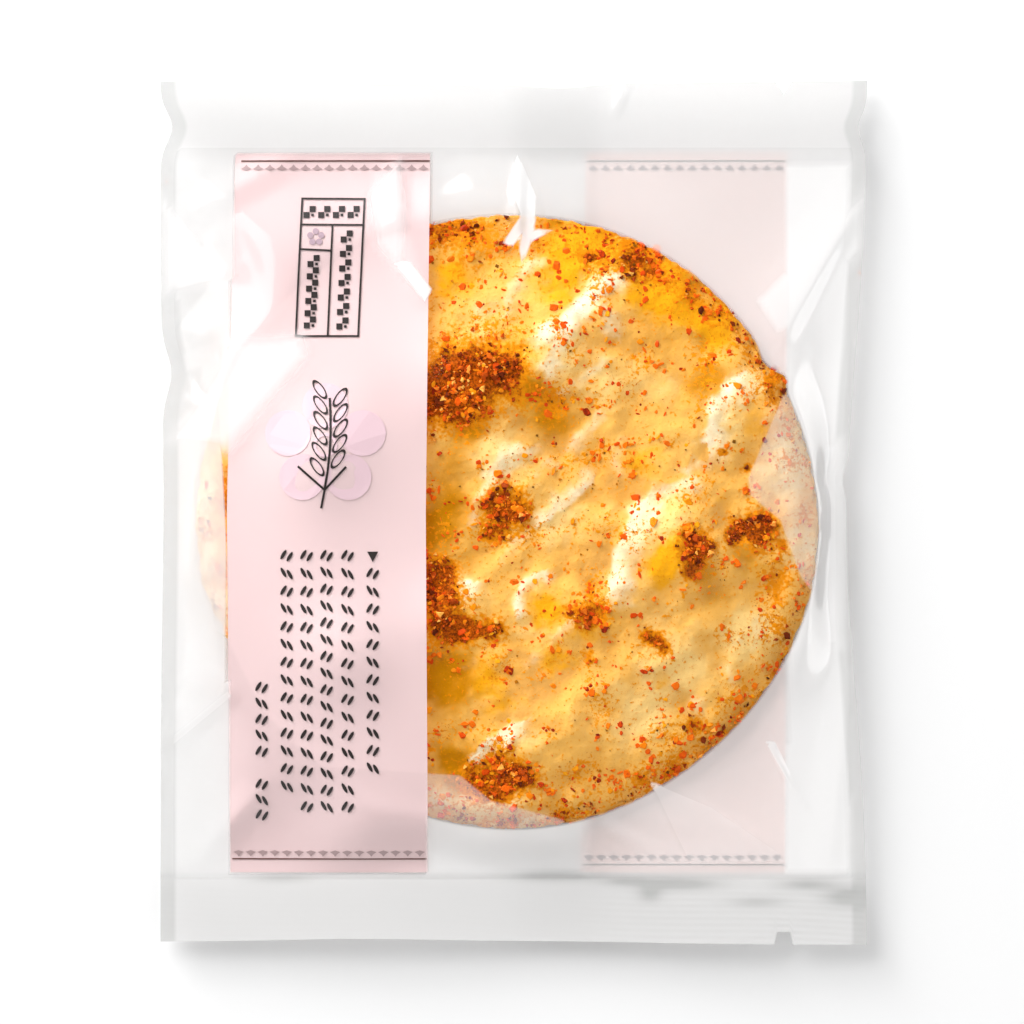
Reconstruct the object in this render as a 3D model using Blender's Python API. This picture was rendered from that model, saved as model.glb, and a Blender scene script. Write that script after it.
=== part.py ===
"""A large round rice cracker sealed in a clear pillow pack, lying on its back.

The shut pack is one closed solid: the film outside, with the cracker that it holds.
Metres, +Z up. The origin is on the surface that the pack lies on, under the middle of
its box. The printed front looks up along +Z, and the end with the smooth seal is +Y.
"""

import math

import bmesh
import bpy

# Driving dimensions, in metres.
PACK_WIDTH = 0.135
PACK_LENGTH = 0.165
TOP_SEAL = 0.0138
BOTTOM_SEAL = 0.0132
SIDE_MARGIN = 0.003  # front and back film lie together along each folded side
FILM_PAIR = 0.0006  # the two films where they are pressed together
SEAL_LIFT = 0.0034  # middle of the end seals above the table
FIN_WIDTH = 0.016  # back seam, folded over towards +X
FIN_STEP = 0.0003
CRACKER_RADIUS = 0.0588
CRACKER_X = -0.0015
CRACKER_Y = -0.0015
RIM_HEIGHT = 0.0072  # film over the cracker's rim
CROWN_HEIGHT = 0.0094  # film over the cracker's middle, between the blisters
CROWN_BLEND = 0.012
BASE_INSET = 0.006  # the back film leaves the table this far inside the rim
CREASE = 0.0009  # height of the folds that run from the cracker to the border
WAVE = 0.0005
NOTCH_X = 0.0515
NOTCH_WIDTH = 0.003
NOTCH_DEPTH = 0.0024
CUTTER_HEIGHT = 0.01
GRID_PITCH = 0.0037

# Baked blisters under the film: x, y, radius, rise.
BLISTERS = (
    (0.0315, -0.0065, 0.0110, 0.0030),
    (0.0100, 0.0330, 0.0100, 0.0024),
    (-0.0085, 0.0240, 0.0105, 0.0024),
    (0.0420, 0.0190, 0.0080, 0.0020),
    (-0.0030, 0.0010, 0.0070, 0.0012),
    (0.0080, -0.0440, 0.0095, 0.0020),
    (-0.0120, -0.0200, 0.0080, 0.0014),
    (0.0150, -0.0190, 0.0075, 0.0014),
    (-0.0360, 0.0110, 0.0100, 0.0018),
    (-0.0320, -0.0270, 0.0090, 0.0016),
)

# Where the folded sides are drawn in: side, y, depth, half height.
PINCHES = (
    (1, 0.0735, 0.0016, 0.0034),
    (1, -0.0020, 0.0040, 0.0430),
    (1, 0.0064, 0.0010, 0.0030),
    (-1, 0.0735, 0.0022, 0.0040),
    (-1, 0.0266, 0.0018, 0.0052),
    (-1, 0.0020, 0.0006, 0.0300),
)

FILM_COLOUR = (0.93, 0.90, 0.87, 1.0)
FILM_ROUGHNESS = 0.25


def clear_scene():
    for obj in list(bpy.data.objects):
        bpy.data.objects.remove(obj, do_unlink=True)


def new_collection(name):
    collection = bpy.data.collections.new(name)
    bpy.context.scene.collection.children.link(collection)
    return collection


def film_material():
    material = bpy.data.materials.new("pack_film")
    material.use_nodes = True
    shader = material.node_tree.nodes["Principled BSDF"]
    shader.inputs["Base Color"].default_value = FILM_COLOUR
    shader.inputs["Roughness"].default_value = FILM_ROUGHNESS
    shader.inputs["Metallic"].default_value = 0.0
    material.diffuse_color = FILM_COLOUR
    return material


def smooth(value):
    """An S-curve from 0 at value 0 to 1 at value 1."""
    t = min(max(value, 0.0), 1.0)
    return t * t * (3.0 - 2.0 * t)


def bell(offset, reach):
    return math.exp(-((offset / reach) ** 2))


def side_inset(side, y):
    """How far the folded side is drawn in from the pack's full half width."""
    return sum(depth * bell(y - at, half) for which, at, depth, half in PINCHES if which == side)


def cracker_radius(angle):
    """The cracker is baked by hand, so its rim is only nearly round."""
    return CRACKER_RADIUS * (1.0 + 0.008 * math.cos(2 * angle + 0.4) + 0.006 * math.cos(5 * angle + 1.0))


def rim_distance(x, y):
    """Distance outside the cracker's rim, negative over the cracker."""
    across, along = x - CRACKER_X, y - CRACKER_Y
    return math.hypot(across, along) - cracker_radius(math.atan2(along, across))


def border_distance(x, y):
    """Distance inside the nearest line where front and back film meet, 0 outside it."""
    half = PACK_WIDTH / 2 - SIDE_MARGIN
    right = half - side_inset(1, y) - x
    left = half - side_inset(-1, y) + x
    top = PACK_LENGTH / 2 - TOP_SEAL - y
    bottom = PACK_LENGTH / 2 - BOTTOM_SEAL + y
    return max(min(right, left, top, bottom), 0.0)


def tautness(x, y, start=0.0):
    """1 where the film lies on the cracker, falling to 0 at the pack's border."""
    outside = max(rim_distance(x, y) + start, 0.0)
    inside = border_distance(x, y)
    return inside / (inside + outside) if inside > 0.0 else 0.0


def blister_rise(x, y):
    return sum(rise * bell(math.hypot(x - at_x, y - at_y), reach) for at_x, at_y, reach, rise in BLISTERS)


def crease(x, y):
    """Folds of loose film that fan out from the cracker towards the corners."""
    angle = math.atan2(y - CRACKER_Y, x - CRACKER_X)
    pull = tautness(x, y)
    fan = math.sin(12 * angle + 0.6) + 0.6 * math.sin(19 * angle + 2.1)
    return CREASE * fan * 4.0 * pull * (1.0 - pull)


def seal_wave(x, y):
    """The border isn't quite flat: both films rise and dip together."""
    return WAVE * math.sin(x / 0.011 + 0.8) * math.cos(y / 0.024) * (1.0 - smooth(tautness(x, y)))


def front_height(x, y):
    """Height of the front film: border, slope up to the rim, then crown and blisters."""
    border = SEAL_LIFT + FILM_PAIR / 2 + seal_wave(x, y)
    crown = (CROWN_HEIGHT - RIM_HEIGHT) * smooth(-rim_distance(x, y) / CROWN_BLEND)
    pull = tautness(x, y)
    return border + (RIM_HEIGHT - border) * smooth(pull) + crown + blister_rise(x, y) * pull**4 + crease(x, y)


def fin_step(x):
    """The back seam is two more films, folded flat against the back."""
    return FIN_STEP if 0.0 < x < FIN_WIDTH else 0.0


def back_height(x, y):
    """Height of the back film: flat on the table under the cracker, lifting to the border."""
    border = SEAL_LIFT - FILM_PAIR / 2 + seal_wave(x, y)
    lift = border * (1.0 - smooth(tautness(x, y, BASE_INSET)))
    return max(lift - fin_step(x), 0.0)


def grid_lines(low, high, exact):
    """Even lines from low to high, with the exact ones added in place of close neighbours."""
    count = round((high - low) / GRID_PITCH)
    even = [low + (high - low) * step / count for step in range(count + 1)]
    kept = [line for line in even if min(abs(line - fixed) for fixed in exact) > GRID_PITCH * 0.45]
    return sorted(kept + list(exact))


def column_lines():
    half = PACK_WIDTH / 2
    fold = half - SIDE_MARGIN
    step = 0.0001
    fin = (-step, step, FIN_WIDTH - step, FIN_WIDTH + step)
    return grid_lines(-half, half, (-half, -fold, *fin, fold, half))


def row_lines():
    half = PACK_LENGTH / 2
    return grid_lines(-half, half, (-half, BOTTOM_SEAL - half, half - TOP_SEAL, half))


def drawn_in(x, y):
    """Moves a point near a folded side in with that side."""
    side = 1 if x > 0 else -1
    share = smooth((abs(x) - PACK_WIDTH / 4) / (PACK_WIDTH / 4))
    return x - side * side_inset(side, y) * share


def pack_mesh(columns, rows):
    """A flat grid extruded once: its upper face is then draped, its lower face is the back."""
    body = bmesh.new()
    bmesh.ops.create_grid(body, x_segments=len(columns) - 1, y_segments=len(rows) - 1, size=1.0)
    for vert in body.verts:
        column = round((vert.co.x + 1.0) / 2.0 * (len(columns) - 1))
        row = round((vert.co.y + 1.0) / 2.0 * (len(rows) - 1))
        vert.co = (columns[column], rows[row], 0.0)
    extruded = bmesh.ops.extrude_face_region(body, geom=body.faces[:])["geom"]
    upper = {item for item in extruded if isinstance(item, bmesh.types.BMVert)}
    for vert in body.verts:
        x, y = drawn_in(vert.co.x, vert.co.y), vert.co.y
        height = front_height(x, y) if vert in upper else back_height(x, y)
        if vert in upper:
            height = max(height, back_height(x, y) + FILM_PAIR)
        vert.co = (x, y, height)
    bmesh.ops.recalc_face_normals(body, faces=body.faces[:])
    mesh = bpy.data.meshes.new("sealed_pack")
    body.to_mesh(mesh)
    body.free()
    return mesh


def add_notch(name, end, cutters):
    """A three-sided cutter, its point towards the pack's middle: end is 1 or -1."""
    cutter = bmesh.new()
    bmesh.ops.create_cone(
        cutter, cap_ends=True, segments=3, radius1=1.0, radius2=1.0, depth=CUTTER_HEIGHT
    )
    lowest = min(vert.co.y for vert in cutter.verts)
    tall = max(vert.co.y for vert in cutter.verts) - lowest
    half_wide = max(vert.co.x for vert in cutter.verts)
    for vert in cutter.verts:
        along = (vert.co.y - lowest) / tall
        vert.co.x = NOTCH_X + vert.co.x / half_wide * NOTCH_WIDTH
        vert.co.y = end * (PACK_LENGTH / 2 + NOTCH_DEPTH * (1.0 - 2.0 * along))
        vert.co.z += SEAL_LIFT
    bmesh.ops.recalc_face_normals(cutter, faces=cutter.faces[:])
    mesh = bpy.data.meshes.new(name)
    cutter.to_mesh(mesh)
    cutter.free()
    obj = bpy.data.objects.new(name, mesh)
    obj.hide_render = True
    obj.display_type = "WIRE"
    cutters.objects.link(obj)
    return obj


def cut(target, cutter):
    modifier = target.modifiers.new(cutter.name, "BOOLEAN")
    modifier.operation = "DIFFERENCE"
    modifier.solver = "EXACT"
    modifier.object = cutter


def build():
    clear_scene()
    parts = new_collection("rice_cracker_pack")
    cutters = new_collection("cutters")
    mesh = pack_mesh(column_lines(), row_lines())
    mesh.materials.append(film_material())
    mesh.shade_smooth()
    mesh.set_sharp_from_angle(angle=math.radians(40.0))
    pack = bpy.data.objects.new("sealed_pack", mesh)
    parts.objects.link(pack)
    cut(pack, add_notch("notch_top", 1, cutters))
    cut(pack, add_notch("notch_bottom", -1, cutters))


build()
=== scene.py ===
import math

import bpy
import numpy as np
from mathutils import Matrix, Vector, noise


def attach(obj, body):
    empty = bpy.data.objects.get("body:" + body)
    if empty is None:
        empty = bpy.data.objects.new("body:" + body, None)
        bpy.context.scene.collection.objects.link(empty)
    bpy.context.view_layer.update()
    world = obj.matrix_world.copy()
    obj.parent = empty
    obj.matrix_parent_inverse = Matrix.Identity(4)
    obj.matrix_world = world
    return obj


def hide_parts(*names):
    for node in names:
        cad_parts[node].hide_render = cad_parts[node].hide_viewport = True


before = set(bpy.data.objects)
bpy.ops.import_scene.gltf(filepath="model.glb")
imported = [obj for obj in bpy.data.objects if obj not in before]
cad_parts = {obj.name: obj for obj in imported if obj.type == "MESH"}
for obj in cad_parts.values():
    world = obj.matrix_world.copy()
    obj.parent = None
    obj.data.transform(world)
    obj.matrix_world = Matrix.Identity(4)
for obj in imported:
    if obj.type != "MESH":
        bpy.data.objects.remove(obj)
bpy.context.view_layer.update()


# ---- The cracker's crust.
# One round of rice dough, rolled thin, turned over and over on a grill so that it blisters,
# then glazed. Cream and honey where the glaze is smooth, browned where it blistered and burst.
# Its colours also hold painted highlights on the crests and rises and painted shade in the dips.

CRACKER_X, CRACKER_Y = -0.0015, -0.0015
CRACKER_RADIUS = 0.0588
RIM_HEIGHT = 0.0072
CROWN_HEIGHT = 0.0094
CROWN_BLEND = 0.026
CRUST_GAP = 0.0005  # the crust lies this far under the film where they touch
RIM_DROP = 0.0016
UNDERSIDE = 0.0006
RIM_BAND = 0.12  # share of the ball that becomes the rim's edge
RIM_SHARE = 0.975  # where the flat of the crust ends, as a share of the radius
RIM_ROUNDING, UNDERSIDE_ROUNDING = 0.006, 0.008  # how far in from the rim each side bends
UNDERSIDE_LIFT = 0.0016
SWELL_RELIEF, GRAIN_RELIEF, CRUMB_RELIEF = 0.0011, 0.00014, 0.00022
CREST_RISE, HOLLOW_FALL, MOST_RISE = 0.0004, 0.0005, 0.0007
CRUMBLE = 0.010  # of the rim's outline, as a share of the radius

# Baked blisters: x, y, radius, rise.
BLISTERS = (
    (0.0315, -0.0065, 0.0110, 0.0030),
    (0.0100, 0.0330, 0.0100, 0.0024),
    (-0.0085, 0.0240, 0.0105, 0.0024),
    (0.0420, 0.0190, 0.0080, 0.0020),
    (-0.0030, 0.0010, 0.0070, 0.0012),
    (0.0080, -0.0440, 0.0095, 0.0020),
    (-0.0120, -0.0200, 0.0080, 0.0014),
    (0.0150, -0.0190, 0.0075, 0.0014),
    (-0.0360, 0.0110, 0.0100, 0.0018),
    (-0.0320, -0.0270, 0.0090, 0.0016),
)

# Cream crests, partly the pale thin skin of a blister and partly a painted highlight where it faces the
# lamps: strength, crisp reach on the left, soft reach on the right, then the points that the crest runs
# through.
CREST_HIGHLIGHTS = (
    (0.88, 0.0012, 0.0044, ((0.0187, -0.0133), (0.0198, -0.0087), (0.0214, -0.0033), (0.0242, 0.0014))),
    (0.62, 0.0012, 0.0036, ((0.0242, 0.0014), (0.0282, 0.0047), (0.0336, 0.0062))),
    (0.80, 0.0008, 0.0022, ((0.0004, -0.0190), (0.0010, -0.0152), (0.0027, -0.0125), (0.0053, -0.0113))),
    (0.85, 0.0011, 0.0042, ((0.0370, 0.0138), (0.0372, 0.0186), (0.0385, 0.0218), (0.0418, 0.0245))),
    (0.40, 0.0008, 0.0030, ((0.0328, 0.0072), (0.0330, 0.0092), (0.0355, 0.0096))),
    (1.00, 0.0016, 0.0028, ((0.0055, 0.0344), (0.0092, 0.0356), (0.0126, 0.0390), (0.0154, 0.0434),
                            (0.0193, 0.0447))),
    (0.63, 0.0017, 0.0030, ((0.0065, 0.0276), (0.0080, 0.0319), (0.0092, 0.0350))),
    (0.54, 0.0016, 0.0029, ((0.0187, 0.0348), (0.0164, 0.0386))),
    (0.49, 0.0014, 0.0026, ((-0.0017, 0.0386), (-0.0004, 0.0420), (0.0015, 0.0462), (0.0040, 0.0478))),
    (0.32, 0.0016, 0.0024, ((-0.0069, 0.0382), (-0.0036, 0.0394))),
    (0.40, 0.0010, 0.0020, ((0.0092, 0.0230), (0.0132, 0.0258), (0.0168, 0.0287))),
    (0.49, 0.0010, 0.0020, ((0.0111, 0.0127), (0.0135, 0.0157), (0.0156, 0.0188))),
    (0.68, 0.0016, 0.0031, ((-0.0055, 0.0039), (-0.0050, 0.0070), (-0.0017, 0.0104), (0.0015, 0.0123))),
    (0.39, 0.0014, 0.0024, ((0.0040, 0.0077), (0.0065, 0.0096))),
    (0.75, 0.0008, 0.0030, ((0.0145, 0.0058), (0.0120, 0.0028), (0.0092, 0.0009), (0.0059, -0.0018))),
    (0.40, 0.0009, 0.0017, ((-0.0084, -0.0022), (-0.0076, 0.0024), (-0.0061, 0.0054))),
    (0.43, 0.0010, 0.0020, ((-0.0027, -0.0091), (-0.0011, -0.0064), (0.0019, -0.0041))),
    (0.40, 0.0010, 0.0022, ((0.0191, 0.0081), (0.0189, 0.0115), (0.0206, 0.0142))),
    (0.81, 0.0008, 0.0026, ((-0.0145, -0.0194), (-0.0133, -0.0167), (-0.0103, -0.0144), (-0.0080, -0.0136))),
    (0.49, 0.0008, 0.0017, ((0.0072, -0.0243), (0.0093, -0.0220), (0.0126, -0.0190))),
    (0.29, 0.0012, 0.0020, ((0.0021, -0.0289), (0.0046, -0.0266))),
    (0.85, 0.0006, 0.0028, ((-0.0080, -0.0466), (-0.0061, -0.0440), (-0.0027, -0.0420), (0.0008, -0.0400))),
    (0.80, 0.0010, 0.0014, ((-0.0019, -0.0443), (0.0000, -0.0417))),
    (0.36, 0.0009, 0.0022, ((0.0406, -0.0323), (0.0410, -0.0281), (0.0423, -0.0247))),
    (0.32, 0.0011, 0.0022, ((0.0454, -0.0243), (0.0461, -0.0201))),
    (0.29, 0.0013, 0.0022, ((0.0332, -0.0386), (0.0349, -0.0361))),
    (0.29, 0.0009, 0.0014, ((-0.0099, -0.0297), (-0.0080, -0.0283))),
    (0.29, 0.0010, 0.0017, ((-0.0065, -0.0363), (-0.0042, -0.0354))),
    (0.80, 0.0008, 0.0030, ((-0.0400, 0.0060), (-0.0380, 0.0130), (-0.0330, 0.0170))),
    (0.80, 0.0008, 0.0030, ((-0.0370, -0.0310), (-0.0340, -0.0250), (-0.0290, -0.0220))),
    (0.45, 0.0048, 0.0048, ((0.0500, 0.0180), (0.0535, 0.0070), (0.0556, -0.0090))),
    (0.45, 0.0036, 0.0036, ((-0.0165, -0.0545), (-0.0060, -0.0565), (0.0050, -0.0585))),
    (0.60, 0.0030, 0.0030, ((-0.0585, 0.0150), (-0.0595, -0.0040), (-0.0565, -0.0230))),
)

# Light honey, where the glaze is thin; some are painted light, brightening the rim where its slope falls away
# under the loose film: x, y, radius, strength.
FAIR_GLAZE_AND_LIGHT = (
    (0.0079, -0.0014, 0.0050, 1.0), (-0.0027, 0.0110, 0.0050, 0.9), (0.0240, -0.0386, 0.0065, 0.9),
    (0.0259, -0.0186, 0.0055, 0.5), (0.0088, 0.0310, 0.0050, 0.9), (0.0164, 0.0253, 0.0045, 0.7),
    (0.0431, -0.0262, 0.0055, 0.7), (0.0011, -0.0434, 0.0045, 0.7), (0.0269, -0.0014, 0.0060, 1.0),
    (0.0402, 0.0176, 0.0045, 1.0), (0.0460, -0.0214, 0.0040, 0.7), (-0.0065, 0.0360, 0.0055, 0.6),
    (0.0335, 0.0100, 0.0035, 0.3), (0.0259, 0.0240, 0.0050, 0.5), (0.0030, -0.0200, 0.0050, 0.6),
    (0.0470, 0.0250, 0.0030, 0.8), (-0.0100, -0.0150, 0.0045, 0.7), (0.0320, -0.0300, 0.0060, 0.8),
    (-0.0350, 0.0100, 0.0070, 0.7), (-0.0300, -0.0220, 0.0070, 0.7), (-0.0420, -0.0120, 0.0060, 0.5),
    (0.0515, 0.0070, 0.0060, 1.0), (0.0545, -0.0060, 0.0045, 1.0), (0.0530, 0.0150, 0.0040, 0.9),
    (-0.0050, -0.0555, 0.0070, 0.8), (-0.0560, 0.0000, 0.0080, 0.8), (-0.0540, -0.0180, 0.0080, 0.8),
)

# Deep amber glaze: x, y, radius, strength.
AMBER_POOLS = (
    (0.0107, 0.0510, 0.0052, 1.0), (0.0088, 0.0434, 0.0060, 0.9), (0.0164, 0.0520, 0.0045, 1.0),
    (0.0256, 0.0419, 0.0060, 1.0), (0.0355, 0.0370, 0.0045, 0.6), (0.0400, 0.0350, 0.0045, 1.0),
    (0.0480, 0.0167, 0.0042, 1.0), (0.0310, -0.0062, 0.0042, 0.9), (0.0278, -0.0110, 0.0045, 0.9),
    (0.0262, 0.0088, 0.0045, 0.6), (0.0220, 0.0110, 0.0030, 0.5), (0.0375, 0.0020, 0.0040, 0.4),
    (0.0412, -0.0319, 0.0055, 0.3), (-0.0084, 0.0270, 0.0110, 0.6), (0.0000, 0.0290, 0.0045, 0.8),
    (0.0062, -0.0180, 0.0042, 1.0), (0.0145, -0.0215, 0.0050, 0.7), (-0.0120, 0.0450, 0.0050, 0.8),
    (-0.0080, 0.0520, 0.0080, 0.4), (0.0250, 0.0480, 0.0060, 0.5), (0.0300, 0.0420, 0.0050, 0.7),
    (0.0480, -0.0120, 0.0050, 0.5), (0.0079, -0.0280, 0.0032, 0.8), (-0.0060, -0.0310, 0.0055, 0.8),
    (-0.0030, -0.0370, 0.0040, 0.5), (-0.0055, -0.0475, 0.0050, 0.8), (0.0020, -0.0470, 0.0040, 0.5),
    (0.0490, -0.0020, 0.0045, 0.8), (-0.0100, -0.0180, 0.0035, 0.6), (-0.0040, 0.0060, 0.0030, 0.5),
    (0.0014, 0.0240, 0.0035, 0.8), (0.0280, -0.0320, 0.0022, 0.6), (-0.0450, 0.0050, 0.0070, 0.9),
    (-0.0520, -0.0020, 0.0060, 0.9), (-0.0400, -0.0300, 0.0070, 0.7), (-0.0300, 0.0350, 0.0070, 0.6),
)

# Burst, browned places where the seasoning caught: x, y, radius, strength.
TOASTED = (
    (-0.0084, 0.0256, 0.0074, 1.0), (-0.0141, 0.0224, 0.0055, 1.0), (-0.0008, 0.0272, 0.0040, 0.8),
    (-0.0075, 0.0520, 0.0050, 0.42), (-0.0122, 0.0540, 0.0038, 0.42), (0.0145, 0.0482, 0.0018, 0.9),
    (0.0225, 0.0484, 0.0032, 0.9), (0.0269, 0.0453, 0.0024, 0.8), (-0.0015, 0.0005, 0.0040, 1.2),
    (-0.0052, -0.0040, 0.0022, 0.6), (-0.0156, -0.0125, 0.0044, 1.0), (-0.0140, -0.0148, 0.0034, 0.7),
    (-0.0103, -0.0218, 0.0030, 0.8), (-0.0140, -0.0215, 0.0034, 0.8), (-0.0074, -0.0220, 0.0026, 0.8),
    (-0.0038, -0.0226, 0.0022, 0.6), (0.0149, -0.0196, 0.0026, 0.8), (0.0107, -0.0190, 0.0020, 0.5),
    (0.0145, -0.0148, 0.0018, 0.5), (0.0334, -0.0045, 0.0020, 0.9), (0.0352, -0.0070, 0.0027, 1.1),
    (0.0338, -0.0110, 0.0020, 0.8), (0.0454, -0.0034, 0.0032, 1.0), (0.0421, -0.0034, 0.0022, 0.9),
    (0.0482, -0.0028, 0.0020, 0.7), (0.0510, -0.0062, 0.0014, 0.6), (-0.0015, -0.0500, 0.0038, 1.0),
    (0.0018, -0.0508, 0.0028, 0.9), (-0.0060, -0.0530, 0.0032, 0.7), (-0.0088, -0.0500, 0.0022, 0.5),
    (0.0492, 0.0250, 0.0018, 0.7), (0.0500, 0.0215, 0.0018, 0.5), (0.0262, -0.0238, 0.0018, 0.8),
    (0.0280, -0.0262, 0.0020, 0.6), (0.0136, -0.0278, 0.0015, 0.7), (0.0074, 0.0209, 0.0030, 0.45),
    (0.0324, 0.0424, 0.0017, 0.6), (0.0345, 0.0402, 0.0015, 0.7), (0.0378, 0.0376, 0.0018, 0.5),
    (0.0443, 0.0082, 0.0014, 0.7), (0.0403, 0.0118, 0.0010, 0.7), (0.0375, 0.0290, 0.0012, 0.5),
    (0.0350, -0.0408, 0.0018, 0.5), (0.0300, -0.0482, 0.0020, 0.5), (0.0245, -0.0506, 0.0018, 0.5),
    (0.0500, -0.0150, 0.0022, 0.4), (0.0500, -0.0220, 0.0020, 0.4), (0.0512, -0.0120, 0.0016, 0.4),
    (-0.0420, 0.0180, 0.0060, 0.9), (-0.0300, -0.0350, 0.0050, 0.8), (-0.0520, 0.0030, 0.0040, 0.6),
)

# Darker olive hollows beside them, sunk a little and darkened with painted shade: x, y, radius, strength.
OLIVE_SHADE_HOLLOWS = (
    (0.0040, 0.0234, 0.0028, 0.9), (-0.0084, 0.0154, 0.0034, 1.0), (0.0074, 0.0190, 0.0040, 0.6),
    (-0.0069, 0.0520, 0.0060, 0.6), (0.0355, -0.0119, 0.0030, 0.7), (0.0440, -0.0072, 0.0032, 0.6),
    (0.0336, 0.0405, 0.0045, 0.5), (0.0360, 0.0320, 0.0024, 0.5), (-0.0127, 0.0010, 0.0052, 1.0),
    (-0.0160, -0.0060, 0.0050, 0.9), (-0.0128, -0.0300, 0.0055, 1.0), (-0.0122, -0.0345, 0.0045, 0.9),
    (-0.0122, -0.0462, 0.0045, 0.9), (-0.0110, -0.0500, 0.0032, 1.0), (0.0212, 0.0024, 0.0028, 0.45),
    (0.0240, 0.0070, 0.0030, 0.35), (0.0187, -0.0033, 0.0026, 0.35), (0.0135, 0.0216, 0.0030, 0.25),
    (0.0090, 0.0160, 0.0036, 0.40), (0.0240, 0.0348, 0.0040, 0.35), (0.0288, 0.0319, 0.0040, 0.40),
    (0.0350, 0.0225, 0.0042, 0.40), (0.0392, 0.0262, 0.0024, 0.50), (0.0183, -0.0205, 0.0032, 0.50),
    (0.0278, -0.0167, 0.0036, 0.35), (0.0388, -0.0165, 0.0034, 0.50), (0.0320, -0.0345, 0.0030, 0.40),
    (0.0333, -0.0385, 0.0022, 0.45), (0.0440, -0.0105, 0.0036, 0.30), (0.0145, -0.0143, 0.0022, 0.80),
    (0.0040, 0.0180, 0.0040, 0.40), (-0.0120, 0.0095, 0.0040, 0.60), (0.0030, -0.0480, 0.0030, 0.50),
    (-0.0440, -0.0150, 0.0060, 0.5), (-0.0300, 0.0050, 0.0060, 0.5), (-0.0084, -0.0091, 0.0030, 0.4),
    (0.0355, 0.0253, 0.0040, 0.6), (0.0336, 0.0100, 0.0030, 0.3),
)


def smooth(value):
    """An S-curve from 0 at value 0 to 1 at value 1."""
    t = np.clip(value, 0.0, 1.0)
    return t * t * (3.0 - 2.0 * t)


def bell(offset, reach):
    return np.exp(-((offset / reach) ** 2))


def spots(x, y, places):
    """The sum of round soft spots, each with its own place, radius and strength."""
    return sum(rise * bell(np.hypot(x - at_x, y - at_y), reach) for at_x, at_y, reach, rise in places)


def grain(x, y, pitch, layer=0.0):
    """Smooth noise from about -1 to 1 with lumps one pitch across; each layer is another pattern."""
    return np.array([noise.noise(Vector((a / pitch, b / pitch, layer))) for a, b in zip(x, y)])


def strayed(x, y, far, near):
    """Moves places about a little, so that what is drawn from them gets a ragged outline."""
    stray_x = x + far * grain(x, y, 0.0050, 51.0) + near * grain(x, y, 0.0018, 52.0)
    stray_y = y + far * grain(x, y, 0.0050, 53.0) + near * grain(x, y, 0.0018, 54.0)
    return stray_x, stray_y


def patches(x, y, places):
    """Like spots, with a ragged outline."""
    return np.clip(spots(*strayed(x, y, 0.0018, 0.0010), places), 0.0, 1.2)


def crests(x, y):
    """1 along the cream crests and their painted highlights, falling off steeply on their left and slowly on
    their right.
    """
    highest = np.zeros_like(x)
    for strength, crisp, soft, through in CREST_HIGHLIGHTS:
        for (from_x, from_y), (to_x, to_y) in zip(through, through[1:]):
            run_x, run_y = to_x - from_x, to_y - from_y
            along = np.clip(((x - from_x) * run_x + (y - from_y) * run_y) / (run_x**2 + run_y**2), 0.0, 1.0)
            off_x, off_y = x - from_x - along * run_x, y - from_y - along * run_y
            reach = np.where(run_x * off_y - run_y * off_x > 0.0, crisp, soft)
            highest = np.maximum(highest, strength * bell(np.hypot(off_x, off_y), reach))
    return highest


def wander(angle):
    """How far the hand-baked rim strays from a circle, as a share of the radius."""
    return 0.008 * np.cos(2 * angle + 0.4) + 0.006 * np.cos(5 * angle + 1.0)


def rim_radius(angle):
    """Nearly round, with one torn lip at the right and a flat at the lower left."""
    lip = 0.022 * bell(angle - 0.475, 0.035) - 0.016 * bell(angle - 0.56, 0.05)
    flat = 0.030 * bell(angle + 2.70, 0.22)
    return CRACKER_RADIUS * (1.0 + wander(angle) + lip - flat)


def rim_distance(x, y):
    """Distance outside the cracker's rim, negative over the cracker."""
    across, along = x - CRACKER_X, y - CRACKER_Y
    return np.hypot(across, along) - rim_radius(np.arctan2(along, across))


def crown_height(x, y):
    """Height of the film that lies on the crust: rim, crown and blisters."""
    crown = (CROWN_HEIGHT - RIM_HEIGHT) * smooth(-rim_distance(x, y) / CROWN_BLEND)
    return RIM_HEIGHT + crown + spots(x, y, BLISTERS)


def swell(x, y):
    """The rise and fall of the baked crust between its blisters, from about -1 to 1."""
    slant, cross = x * 0.8 + y * 0.6, y * 0.8 - x * 0.6
    return 0.75 * grain(slant * 0.7, cross, 0.0085) + 0.45 * grain(slant, cross, 0.0042, 2.0)


def crust_top(x, y):
    """Upper side of the crust, everywhere a little under the film."""
    inside = -rim_distance(x, y)
    toast = np.clip(spots(x, y, TOASTED), 0.0, 1.0)
    crest = CREST_RISE * crests(x, y) - HOLLOW_FALL * spots(x, y, OLIVE_SHADE_HOLLOWS)
    relief = SWELL_RELIEF * (0.9 - swell(x, y)) + GRAIN_RELIEF * (1.0 - grain(x, y, 0.0017, 3.0))
    crumb = CRUMB_RELIEF * toast * (1.0 - grain(x, y, 0.0007, 7.0))
    fall = RIM_DROP * (1.0 - smooth(inside / RIM_ROUNDING)) ** 2
    under_film = crown_height(x, y) - CRUST_GAP
    return under_film - relief - crumb - fall - MOST_RISE + np.minimum(crest, MOST_RISE)


def crust_underside(x, y):
    """Lower side of the crust: flat where it was pressed, lifting towards the rim."""
    inside = -rim_distance(x, y)
    lift = UNDERSIDE_LIFT * (1.0 - smooth(inside / UNDERSIDE_ROUNDING)) ** 2
    return UNDERSIDE + lift + 0.0003 * (1.0 + grain(x, y, 0.006, 11.0))


def read_points(obj):
    flat = np.empty(len(obj.data.vertices) * 3, np.float32)
    obj.data.vertices.foreach_get("co", flat)
    return flat.reshape(-1, 3).astype(float)


def write_points(obj, points):
    obj.data.vertices.foreach_set("co", np.asarray(points, np.float32).ravel())
    obj.data.update()


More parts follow.
